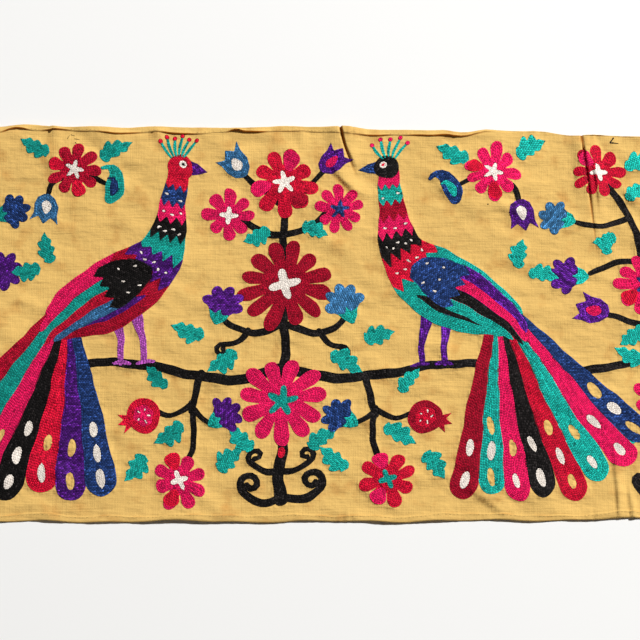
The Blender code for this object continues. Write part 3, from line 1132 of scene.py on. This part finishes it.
def summed_around(part):
    """For each cell of a grid, the sum over it and the eight cells around it."""
    rows, columns = part.shape
    wide = np.pad(part, 1)
    return sum(wide[j : j + rows, i : i + columns] for i in range(3) for j in range(3))


def ridge_headings(values):
    """The heading, in radians, of the ridge or slope at each cell of the grid."""
    up, right = np.gradient(values)
    across, both, along = [summed_around(part) for part in (right * right, right * up, up * up)]
    return 0.5 * np.arctan2(2 * both, across - along) + math.pi / 2


def room_ahead(low, values, place, ahead):
    """How far a stitch in a gap may reach from its middle, one step at least."""
    steps = place + ahead * GAP_STEPS[:, None]
    x, y = np.round((steps - low) / CELL).astype(int).T
    rows, columns = values.shape
    on_grid = (x >= 0) & (y >= 0) & (x < columns) & (y < rows)
    inside = on_grid & (values[np.clip(y, 0, rows - 1), np.clip(x, 0, columns - 1)] > GAP_RIM)
    return GAP_STEPS[0] * max(np.cumprod(inside).sum(), 1)


def gap_stitches(low, values, stitches):
    """Short stitches where rows leave the ground bare, along the ridge of each gap, the widest first."""
    bare = (values > GAP_DEPTH) & ~covered_cells(low, values.shape, stitches)
    if not bare.any():
        return np.zeros((0, 4))
    rows, columns = np.nonzero(bare)
    order = np.argsort(-values[rows, columns])
    rows, columns = rows[order], columns[order]
    places = low + CELL * np.stack([columns, rows], 1)
    headings = ridge_headings(values)[rows, columns]
    left = np.ones(len(places), bool)
    found = []
    for k, place in enumerate(places):
        if not left[k]:
            continue
        ahead = step_at(headings[k])
        start = place - ahead * room_ahead(low, values, place, -ahead)
        end = place + ahead * room_ahead(low, values, place, ahead)
        offset = places - (start + end) / 2
        along = np.abs(offset @ ahead)
        beside = np.abs(offset @ turned_left(ahead))
        left &= (along > np.hypot(*(end - start)) / 2 + 0.8) | (beside > COVERS)
        found.append(np.concatenate([start, end]))
    return np.array(found)


def cut_back(inside, outside, outline):
    """The places, near the outline, at which lines from inside it to outside it come out from under it."""
    for _ in range(4):
        middle = (inside + outside) / 2
        under = (winding(middle, outline) != 0)[:, None]
        inside, outside = np.where(under, middle, inside), np.where(under, outside, middle)
    return outside


def trimmed(stitches, covers):
    """Stitches cut back where areas worked later, or left bare, cover them, and which of them are left."""
    start, end = stitches[:, :2].copy(), stitches[:, 2:].copy()
    keep = np.ones(len(stitches), bool)
    for outline in covers:
        low, high = outline.min(0) - 0.1, outline.max(0) + 0.1
        near = keep & (np.minimum(start, end) < high).all(1) & (np.maximum(start, end) > low).all(1)
        if not near.any():
            continue
        index = np.nonzero(near)[0]
        places = (start[index], (start[index] + end[index]) / 2, end[index])
        first, middle, last = [winding(place, outline) != 0 for place in places]
        keep[index[(first & last) | (middle & ~first & ~last)]] = False
        for cut, moved, other in ((first & ~last, start, end), (last & ~first, end, start)):
            at = index[cut]
            if len(at):
                moved[at] = cut_back(moved[at], other[at], outline)
    keep &= np.hypot(*(end - start).T) > SHORTEST_LEFT
    return np.hstack([start, end]), keep


# ---- the stitches' and the ground's shapes
# A chain stitch seen from above: places along and across it, from -1 to 1, and height; and its faces. Its two
# strands part at the back end, swell and meet again in front, with a hollow between them that painted shade
# darkens.
LINK = np.array(
    [
        (-1, 0, 0.05), (-0.35, 0.86, -0.1), (0.5, 0.96, -0.1), (1, 0, 0.1), (0.5, -0.96, -0.1),
        (-0.35, -0.86, -0.1), (0.08, 0.5, 1.0), (0.08, -0.5, 1.0), (0.02, 0, 0.15),
    ]
)
# Painted shade and painted highlights of a link, as shares of its tone at each corner: darkest in the hollow,
# darker at the ends, paler on the strands' tops
LINK_PAINTED_LIGHT = np.array([0.66, 0.82, 0.96, 0.82, 0.96, 0.82, 1.30, 1.30, 0.20])
LINK_FACES = np.array(
    [
        (0, 6, 1), (1, 6, 2), (2, 6, 3), (0, 8, 6), (8, 3, 6), (0, 5, 7), (5, 4, 7), (4, 3, 7), (0, 7, 8),
        (8, 7, 3),
    ]
)


def links(stitches, width, proud, base):
    """Corner places and faces of many stitches, given as start and end places on the flat cloth."""
    start, end = stitches[:, :2], stitches[:, 2:]
    middle, half = (start + end) / 2, (end - start) / 2
    long = np.maximum(np.hypot(half[:, 0], half[:, 1]), LEAST)
    ahead = half / long[:, None]
    across = turned_left(ahead)
    reach = (long * (1 + LAPS_MORE) + LAPS)[:, None, None]
    wide = (width / 2)[:, None, None]
    flat = (
        middle[:, None]
        + ahead[:, None] * LINK[None, :, 0:1] * reach
        + across[:, None] * LINK[None, :, 1:2] * wide
    )
    high = base[:, None] + LINK[None, :, 2] * proud[:, None]
    places = lay(flat.reshape(-1, 2), high.reshape(-1))
    faces = LINK_FACES[None] + (len(LINK) * np.arange(len(stitches)))[:, None, None]
    return places, faces.reshape(-1, 3), flat.reshape(-1, 2)


def around(outline, step):
    """The outline with more corners, at most this far apart."""
    after = np.roll(outline, -1, axis=0)
    parts = np.maximum(1, np.ceil(np.hypot(*(after - outline).T) / step).astype(int))
    return np.vstack([p + (q - p) * np.arange(n)[:, None] / n for p, q, n in zip(outline, after, parts)])


def drawn_back(outline, distance):
    """The outline with its corners moved inwards."""
    ahead = np.roll(outline, -1, axis=0) - np.roll(outline, 1, axis=0)
    ahead /= np.maximum(np.hypot(*ahead.T), LEAST)[:, None]
    return outline + np.sign(twice_area(outline)) * distance * turned_left(ahead)


# Places in a triangle at which the ground's height is compared with the cloth's, as shares of its corners
WITHIN_FACE = np.array(
    [
        (0.34, 0.33, 0.33), (0.5, 0.5, 0), (0, 0.5, 0.5), (0.5, 0, 0.5), (0.75, 0.25, 0), (0.25, 0.75, 0),
        (0, 0.75, 0.25), (0, 0.25, 0.75), (0.75, 0, 0.25), (0.25, 0, 0.75), (0.66, 0.17, 0.17),
        (0.17, 0.66, 0.17), (0.17, 0.17, 0.66),
    ]
)


def clear_of_cloth(corners, faces, heights):
    """Raises corners a little where the cloth between them would come through the ground."""
    ground = (underside(corners) + heights)[faces] @ WITHIN_FACE.T
    places = np.einsum("sk,fkc->fsc", WITHIN_FACE, corners[faces])
    cloth = underside(places.reshape(-1, 2)).reshape(ground.shape)
    lack = np.clip((cloth + CLEARANCE - ground).max(1), 0, MOST_RAISED)
    raised = np.zeros(len(corners))
    np.maximum.at(raised, faces.ravel(), np.repeat(lack, 3))
    return heights + raised


def facing_up(corners, faces):
    """The faces, with the corners of those that face down in the other order."""
    a, b, c = corners[faces[:, 0]], corners[faces[:, 1]], corners[faces[:, 2]]
    turn = (b[:, 0] - a[:, 0]) * (c[:, 1] - a[:, 1]) - (b[:, 1] - a[:, 1]) * (c[:, 0] - a[:, 0])
    faces[turn < 0] = faces[turn < 0][:, ::-1]
    return faces


def ground_patch(outline, covers, bare):
    """The padded ground under one area, cut out under later areas: corners, faces and heights."""
    rim = around(outline, GROUND_STEP)
    inner = FLAT_NODES[(FLAT_NODES > rim.min(0)).all(1) & (FLAT_NODES < rim.max(0)).all(1)]
    inner = inner[depth_inside(inner, rim) > 1.0] if len(inner) else inner
    points, edges = [rim, inner, *covers], []
    count = len(rim) + len(inner)
    for cover in covers:
        edges += [(count + k, count + (k + 1) % len(cover)) for k in range(len(cover))]
        count += len(cover)
    corners, _, faces, _, _, _ = delaunay_2d_cdt(
        [Vector(p) for p in np.vstack(points)], edges, [list(range(len(rim)))], 1, 1e-4
    )
    corners = np.array([tuple(p) for p in corners])
    faces = np.array([f for f in faces if len(f) == 3], int).reshape(-1, 3)
    middles = corners[faces].mean(1)
    shown = winding(middles, outline) != 0
    for cover in covers:
        shown &= ~within(middles, cover)
    if not shown.any():
        return None
    used, faces = np.unique(faces[shown], return_inverse=True)
    corners = corners[used]
    faces = facing_up(corners, faces.reshape(-1, 3))
    depth = depth_inside(corners, outline)
    for hole in bare:
        depth = np.minimum(depth, -depth_inside(corners, hole))
    heights = GROUND_RIM + (PAD - GROUND_RIM) * np.clip(depth / GROUND_SLOPE, 0, 1)
    return corners, faces, clear_of_cloth(corners, faces, heights)


# ---- meshes and materials
def mesh_piece(name, places, faces, material, plan=None, **values):
    """A piece of triangles with named values at its corners.

    Where plan gives its flat places from 0 to 1, it gets a map of them.
    """
    mesh = bpy.data.meshes.new(name)
    mesh.from_pydata(places.tolist(), [], faces.tolist())
    mesh.validate()
    mesh.shade_smooth()
    for label, value in values.items():
        mesh.attributes.new(label, "FLOAT", "POINT").data.foreach_set("value", value)
    if plan is not None:
        mesh.uv_layers.new(name="OFBake").data.foreach_set("uv", plan[faces.ravel()].ravel())
    mesh.materials.append(material)
    piece = bpy.data.objects.new(name, mesh)
    bpy.context.scene.collection.objects.link(piece)
    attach(piece, "root")
    return piece


def new_node(tree, kind, **values):
    node = tree.nodes.new(kind)
    for name, value in values.items():
        setattr(node, name, value)
    return node


def noise(tree, place, scale, detail=2.0, stretch=None):
    """A noise value of this scale, in repeats a metre, stretched along the cloth's sides if asked."""
    if stretch:
        mapping = new_node(tree, "ShaderNodeMapping")
        mapping.inputs["Scale"].default_value = stretch
        tree.links.new(place, mapping.inputs["Vector"])
        place = mapping.outputs["Vector"]
    node = new_node(tree, "ShaderNodeTexNoise")
    node.inputs["Scale"].default_value = scale
    node.inputs["Detail"].default_value = detail
    tree.links.new(place, node.inputs["Vector"])
    return node.outputs["Fac"]


def arithmetic(tree, operation, *values):
    node = new_node(tree, "ShaderNodeMath", operation=operation)
    for socket, value in zip(node.inputs, values):
        if isinstance(value, (int, float)):
            socket.default_value = value
        else:
            tree.links.new(value, socket)
    return node.outputs[0]


def weighted_sum(tree, start, *terms):
    """A value or number with others added to it, each times its weight."""
    for value, weight in terms:
        start = arithmetic(tree, "MULTIPLY_ADD", value, weight, start)
    return start


def corner_value(tree, label):
    return new_node(tree, "ShaderNodeAttribute", attribute_name=label).outputs["Fac"]


def scaled_colour(tree, colour, factor):
    """A colour times a value."""
    node = new_node(tree, "ShaderNodeVectorMath", operation="SCALE")
    node.inputs[0].default_value = colour
    tree.links.new(factor, node.inputs["Scale"])
    return node.outputs[0]


def tinted(tree, colour, factor, tint):
    """A colour times this tint where the factor is 1, and as it is where the factor is 0."""
    share = new_node(tree, "ShaderNodeVectorMath", operation="MULTIPLY_ADD")
    share.inputs[0].default_value = [k - 1 for k in tint]
    tree.links.new(factor, share.inputs[1])
    share.inputs[2].default_value = (1, 1, 1)
    node = new_node(tree, "ShaderNodeVectorMath", operation="MULTIPLY")
    tree.links.new(colour, node.inputs[0])
    tree.links.new(share.outputs[0], node.inputs[1])
    return node.outputs[0]


def bump(tree, height, distance, normal=None):
    """Adds relief of this height in metres for each unit of the height value."""
    node = new_node(tree, "ShaderNodeBump")
    node.inputs["Distance"].default_value = distance
    tree.links.new(height, node.inputs["Height"])
    if normal:
        tree.links.new(normal, node.inputs["Normal"])
    return node.outputs["Normal"]


def start_material(name, roughness, gloss):
    """A new material, its node tree, its shader and the place on the cloth."""
    material = bpy.data.materials.new(name)
    material.use_nodes = True
    tree = material.node_tree
    shader = tree.nodes["Principled BSDF"]
    shader.inputs["Roughness"].default_value = roughness
    shader.inputs["Specular IOR Level"].default_value = gloss
    return material, tree, shader, new_node(tree, "ShaderNodeTexCoord").outputs["Object"]


def thread_material(name, colour):
    """Loosely twisted embroidery thread: a faint sheen, fine fibres and uneven dyeing, times the tone at its
    corners, which also holds painted shade and painted highlights.
    """
    material, tree, shader, place = start_material("thread_" + name, 0.62, THREAD_GLOSS)
    fibre = noise(tree, place, 1500.0)
    dye = weighted_sum(tree, 0.88, (noise(tree, place, 48.0, 3.0), 0.24))
    fleck = weighted_sum(tree, 0.82, (fibre, 0.36))
    factor = arithmetic(tree, "MULTIPLY", corner_value(tree, "tone"), dye)
    factor = arithmetic(tree, "MULTIPLY", factor, fleck)
    tree.links.new(scaled_colour(tree, colour, factor), shader.inputs["Base Color"])
    tree.links.new(bump(tree, fibre, 0.15 * MM), shader.inputs["Normal"])
    return material


def cloth_material():
    """Plain-woven cotton in a slubby yarn, warmer and darker in patches, with painted shade in its slits and
    under its standing hem, and puckered where the stitches draw it in.
    """
    material, tree, shader, place = start_material("gold_cotton", 0.9, 0.1)
    shader.inputs["Sheen Weight"].default_value = 0.04
    broad = noise(tree, place, 7.0, 3.0)
    cloudy = noise(tree, place, 34.0, 4.0)
    weft = noise(tree, place, 1.0, 3.0, (24.0, 560.0, 1.0))
    warp = noise(tree, place, 1.0, 2.0, (760.0, 26.0, 1.0))
    grain = noise(tree, place, 1250.0)
    crumple = noise(tree, place, 1.0, 3.0, (13.0, 40.0, 1.0))

    parts = ((broad, 0.16), (cloudy, 0.23), (weft, 0.27), (warp, 0.12), (grain, 0.07))
    shade = weighted_sum(tree, 0.655, *parts)
    warm_patch = arithmetic(tree, "MAXIMUM", weighted_sum(tree, 3.2, (cloudy, -7.0)), 0.0)
    colour = tinted(tree, scaled_colour(tree, CLOTH, shade), warm_patch, PATCH_TINT)
    # painted shade: darker and redder in the slits and under the hem where it stands up
    colour = tinted(tree, colour, corner_value(tree, "hidden"), PAINTED_SLIT_SHADE)
    tree.links.new(colour, shader.inputs["Base Color"])

    yarn = weighted_sum(tree, weft, (warp, 0.7), (grain, 0.8))
    near = weighted_sum(tree, 0.35, (corner_value(tree, "drawn_in"), 2.2))
    pucker = arithmetic(tree, "MULTIPLY", noise(tree, place, 120.0, 1.5), near)
    normal = None
    for height, distance in ((yarn, 0.45 * MM), (pucker, 1.7 * MM), (crumple, 4.5 * MM)):
        normal = bump(tree, height, distance, normal)
    tree.links.new(normal, shader.inputs["Normal"])
    return material


# ---- the sheet
def gape(points):
    """How far the hem's free edge stands up at each of the points."""
    x, y = points.T
    turn = along_rim(points)
    up = 0.30 + 0.35 * np.sin(turn / 31 + 1.3 * np.sin(turn / 13)) + 0.2 * np.sin(turn / 6.3)
    up = np.clip(up, 0.1, 0.8)
    top = y > WIDTH / 2 - 2 * HEM
    for middle, reach, height, _ in HEM_GAPES:
        up += height * dome((x - middle) / reach) * top
    return up


def single(points):
    """1 where the face is a single layer up to the top edge, since the hem is turned under there, else 0."""
    nearest = WIDTH / 2 - points[:, 1] < LENGTH / 2 - points[:, 0]
    return turned_under(points) * nearest


def hidden(points):
    """How far each point lies out of the light, as painted shade: in a slit by a sharp fold, or under a hem
    that stands up.
    """
    dark = folded(flat_places(points), SLITS)
    rim = from_rim(points)
    under = np.clip(1 - (rim - HEM - HEM_STEP) / 1.2, 0, 1) * (rim > HEM - 0.1)
    dark += under * np.clip((gape(points) - 0.35) / 1.1, 0, 1) * (1 - single(points))
    return np.clip(dark, 0, 1)


def hem_rise(points):
    """How thick the cloth is at each point: one layer, or the hem, whose free edge curls up in places."""
    rim = from_rim(points)
    roll = np.sqrt(np.clip(1 - (1 - np.clip(rim, 0, ROUNDED) / ROUNDED) ** 2, 0, 1))
    hem = HEMMED + gape(points) * np.clip((rim - 4) / (HEM - 4), 0, 1) ** 2
    fall = np.clip((HEM + HEM_STEP - rim) / HEM_STEP, 0, 1) * (1 - single(points))
    thick = SHEET + (hem - SHEET) * fall
    return np.where(rim < ROUNDED, RIM + (thick - RIM) * roll, thick)


def drawn_in(regions):
    """How close to the stitching each node of the sheet lies, from 0 far off to 1 within it."""
    step = 2.5  # of the grid that is used
    corner = np.array([-LENGTH / 2, -WIDTH / 2])
    last = np.array([int(LENGTH / step), int(WIDTH / step)])
    worked = np.zeros((last[1] + 1, last[0] + 1))
    for region in regions:
        outline = region["points"]
        low = np.maximum(np.round((outline.min(0) - corner) / step), 0).astype(int)
        high = np.minimum(np.round((outline.max(0) - corner) / step), last).astype(int)
        x, y = [np.arange(low[k], high[k] + 1) for k in (0, 1)]
        places = corner + step * np.stack(np.meshgrid(x, y), -1).reshape(-1, 2)
        inside = (winding(places, outline) != 0).reshape(len(y), len(x))
        part = worked[low[1] : high[1] + 1, low[0] : high[0] + 1]
        np.maximum(part, inside, out=part)
    for axis in (0, 1) * 3:
        worked = (np.roll(worked, 1, axis) + worked + np.roll(worked, -1, axis)) / 3
    x, y = np.clip(np.round((FLAT_NODES - corner) / step).astype(int), 0, last).T
    return worked[y, x]


def make_sheet(regions):
    """The closed sheet: its face, its underside and the narrow edge that joins them."""
    places = np.vstack([lay(FLAT_NODES, hem_rise(FLAT_NODES)), lay(FLAT_NODES)])
    count = len(FLAT_NODES)
    corner = np.arange(count).reshape(NODES.shape[:2])
    quads = [corner[:-1, :-1], corner[:-1, 1:], corner[1:, 1:], corner[1:, :-1]]
    a, b, c, d = [part.ravel() for part in quads]
    face = np.vstack([np.stack([a, b, c], 1), np.stack([a, c, d], 1)])
    rim = np.concatenate([corner[0, :-1], corner[:-1, -1], corner[-1, :0:-1], corner[:0:-1, 0]])
    after = np.roll(rim, -1)
    sides = [np.stack([rim, after + count, after], 1), np.stack([rim, rim + count, after + count], 1)]
    faces = np.vstack([face, face[:, ::-1] + count, *sides])
    # hidden carries the painted shade of the slits and of the standing hem
    values = {"drawn_in": np.tile(drawn_in(regions), 2), "hidden": np.tile(hidden(FLAT_NODES), 2)}
    piece = mesh_piece("cotton_sheet", places, faces, cloth_material(), **values)
    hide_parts(NODE)
    return piece


def hem_rows(dice):
    """The running stitches along all four hems: start and end places."""
    along_stitch, across_stitch = (2.0, 2.8), (-0.2, 0.2)  # how far one goes on, and strays
    rows = []
    for side in (1, -1):
        for axis, size, other in ((0, LENGTH, WIDTH), (1, WIDTH, LENGTH)):
            end = size / 2 - HEM_STITCHES_START
            place = np.arange(-end, end, HEM_STITCH_PITCH)
            place = place + dice.uniform(-0.5, 0.5, len(place))
            inset = side * (other / 2 - HEM + HEM_STITCH_INSET) + dice.uniform(-0.3, 0.3, len(place))
            x, y = (place, inset) if axis == 0 else (inset, place)
            over, up = (along_stitch, across_stitch) if axis == 0 else (across_stitch, along_stitch)
            to_x = x + dice.uniform(*over, len(x))
            to_y = y + dice.uniform(*up, len(y))
            rows.append(np.stack([x, y, to_x, to_y], 1))
    return np.vstack(rows)


def hem_stitches():
    """Small running stitches that hold the hem down, just inside its free edge."""
    dice = np.random.default_rng(5)
    rows = hem_rows(dice)
    rows = rows[(gape(rows[:, :2]) < 1.0) & (single(rows[:, :2]) < 0.1)]
    count = len(rows)
    width, proud = np.full(count, HEM_STITCH_WIDTH), np.full(count, HEM_STITCH_PROUD)
    places, faces, _ = links(rows, width, proud, hem_rise(rows[:, :2]) + HEM_STITCH_CLEAR)
    tones = np.repeat(dice.uniform(0.5, 0.9, count), len(LINK))
    piece = mesh_piece("hem_stitches", places, faces, thread_material("hem", CLOTH), tone=tones)
    return piece


# ---- the embroidery
def areas_over(regions):
    """For each area, the outlines of those worked over it later, and of those of them that are bare."""
    lows = np.array([region["points"].min(0) for region in regions])
    highs = np.array([region["points"].max(0) for region in regions])
    for k, region in enumerate(regions):
        meets = (lows < highs[k]).all(1) & (highs > lows[k]).all(1)
        later = [regions[j] for j in np.nonzero(meets)[0] if j > k]
        region["covers"] = [other["points"] for other in later]
        region["bare"] = [other["points"] for other in later if other["thread"] is None]


def stitched(region, dice):
    """All the stitches of one area: their places, and a tone for each."""
    outline = region["points"]
    low, values = depth_grid(outline)
    if region["fill"] == "rows":
        rows = straight_rows(low, values, outline, region["angle"] + dice.uniform(-5, 5), dice)
    else:
        rows = round_rows(low, values, dice)
    rows = [row for row in rows if len(row)]
    spread = STREAKS if region["thread"] in STREAKY else ROWS_VARY
    lot = dice.normal(1.0, LOTS_VARY)
    tones = [np.full(len(row), lot * dice.normal(1.0, spread)) for row in rows]
    rows = np.vstack([np.zeros((0, 4)), *rows])
    gaps = gap_stitches(low, values, rows)
    rows, keep = trimmed(np.vstack([rows, gaps]), region["covers"])
    tones = np.concatenate([*tones, np.full(len(gaps), lot)])
    return rows[keep], tones[keep]


def uneven_tones(thread, rows, tones, dice):
    """The stitches' tones, paler along the strip and uneven from one to the next."""
    uneven = UNEVEN[thread]
    tones = tones * np.exp(PALER.get(thread, 0.0) * rows[:, 0] / (LENGTH / 2))
    chance = np.exp(dice.normal(-uneven * uneven / 2, abs(uneven), len(rows))) - 1
    # for purple, navy and black the lighter stitches are painted sheen as well as uneven thread
    return np.clip(tones * (1 + math.copysign(1, uneven) * chance), DARKEST, PALEST)


MAP_HEIGHT, MAP_STEP = 0.49, 0.505  # how high each half of a map is, and how far the upper is above the lower


class Bag:
    """What the piece of one thread is made of, area by area."""

    def __init__(self, thread):
        self.thread = thread
        # the share of the painted shade and highlights that this thread gets
        self.painted_shade_share = PAINTED_SHADE_SHARES.get(thread, 1.0)
        self.places, self.faces, self.plan, self.tones = [], [], [], []
        self.count = 0

    def keep(self, places, faces, flat, tones, upper):
        """Adds corners and faces. The map shows the ground in its lower half, the stitches above."""
        self.places.append(places)
        self.faces.append(faces + self.count)
        self.tones.append(tones)
        plan = [flat[:, 0] / LENGTH + 0.5, (flat[:, 1] / WIDTH + 0.5) * MAP_HEIGHT + MAP_STEP * upper]
        self.plan.append(np.stack(plan, 1))
        self.count += len(places)

    def add_ground(self, region, base):
        under = [drawn_back(cover, TUCK) for cover in region["covers"]]
        patch = ground_patch(region["points"], [*under, *region["bare"]], region["bare"])
        if patch is not None:
            corners, faces, heights = patch
            # painted shade: the ground is darkened for the shade that falls between stitches and rows
            tones = np.full(len(corners), 1 - GROUND_PAINTED_SHADE * self.painted_shade_share)
            self.keep(lay(corners, base + heights), faces, corners, tones, 0)

    def add_stitches(self, region, base, dice):
        rows, tones = stitched(region, dice)
        count = len(rows)
        if not count:
            return
        tones = uneven_tones(self.thread, rows, tones, dice)
        width = THREAD * dice.uniform(*WIDTHS_VARY, count)
        proud = PROUD * dice.uniform(*HEIGHTS_VARY, count)
        places, faces, flat = links(rows, width, proud, np.full(count, base + PAD - SUNK))
        # painted shade in each link's hollow and at its ends, and painted highlights on its strands
        self.keep(places, faces, flat, np.outer(tones, 1 + self.painted_shade_share * (LINK_PAINTED_LIGHT - 1)).ravel(), 1)

    def make_piece(self):
        places, faces, plan = [np.vstack(part) for part in (self.places, self.faces, self.plan)]
        material = thread_material(self.thread, COLOURS[self.thread])
        tones = np.concatenate(self.tones)
        piece = mesh_piece("embroidery_" + self.thread, places, faces, material, plan, tone=tones)
        return piece


def embroider(regions):
    """Works every area, and makes one piece for each thread."""
    areas_over(regions)
    dice = np.random.default_rng(23)
    bags = {}
    for region in regions:
        thread = region["thread"]
        if thread is None:
            continue
        if thread not in bags:
            bags[thread] = Bag(thread)
        base = SHEET + dice.uniform(0, UNEVEN_BASE)
        bags[thread].add_ground(region, base)
        bags[thread].add_stitches(region, base, dice)
    return [bag.make_piece() for bag in bags.values()]


# ---- floor, light and camera
FLOOR_SIZE = 40
FLOOR_GAP = 0.3 * MM  # below the cloth
FLOOR_COLOUR = (0.86, 0.86, 0.85, 1)
SKY_COLOUR, SKY_STRENGTH = (1.0, 0.86, 0.68, 1), 0.055
LIGHTS = (  # name, place, size and power: a far, nearly hard light, as on a clear day, and a weak wide one
    ("key", (6.75, 5.75, 8.5), 1.0, 2190),
    ("fill", (-1.2, -1.0, 2.2), 1.8, 2),
)
LIGHTS_AIM = (0.05, 0, 0)
VIEW_WIDTH = 832 * MM  # how much of the strip the picture spans
VIEW_MIDDLE = (48 * MM, 2.6 * MM, 0)
ELEVATION = math.radians(75)
DISTANCE = 4.5
SENSOR = 36.0  # in mm


def set_stage():
    bpy.ops.mesh.primitive_plane_add(size=FLOOR_SIZE, location=(0, 0, -FLOOR_GAP))
    floor = bpy.context.object
    floor.name = "floor"
    material = bpy.data.materials.new("pale_floor")
    material.use_nodes = True
    shader = material.node_tree.nodes["Principled BSDF"]
    shader.inputs["Base Color"].default_value = FLOOR_COLOUR
    shader.inputs["Roughness"].default_value = 0.9
    floor.data.materials.append(material)

    world = bpy.data.worlds.new("studio")
    world.use_nodes = True
    background = world.node_tree.nodes["Background"]
    background.inputs["Color"].default_value = SKY_COLOUR
    background.inputs["Strength"].default_value = SKY_STRENGTH
    bpy.context.scene.world = world
    bpy.context.scene.view_settings.view_transform = "Standard"


def add_light(name, place, size, power):
    data = bpy.data.lights.new(name, "AREA")
    data.shape = "DISK"
    data.size = size
    data.energy = power
    light = bpy.data.objects.new(name, data)
    light.location = place
    light.rotation_euler = (Vector(LIGHTS_AIM) - Vector(place)).to_track_quat("-Z", "Y").to_euler()
    bpy.context.scene.collection.objects.link(light)


def add_camera():
    data = bpy.data.cameras.new("camera")
    data.sensor_width = SENSOR
    data.lens = SENSOR * DISTANCE / VIEW_WIDTH
    camera = bpy.data.objects.new("camera", data)
    away = Vector((0, -math.cos(ELEVATION), math.sin(ELEVATION)))
    camera.location = Vector(VIEW_MIDDLE) + DISTANCE * away
    camera.rotation_euler = (-away).to_track_quat("-Z", "Y").to_euler()
    bpy.context.scene.collection.objects.link(camera)
    bpy.context.scene.camera = camera


add_camera()
set_stage()
for light in LIGHTS:
    add_light(*light)

regions = design()
sheet = make_sheet(regions)
pieces = [hem_stitches(), *embroider(regions)]
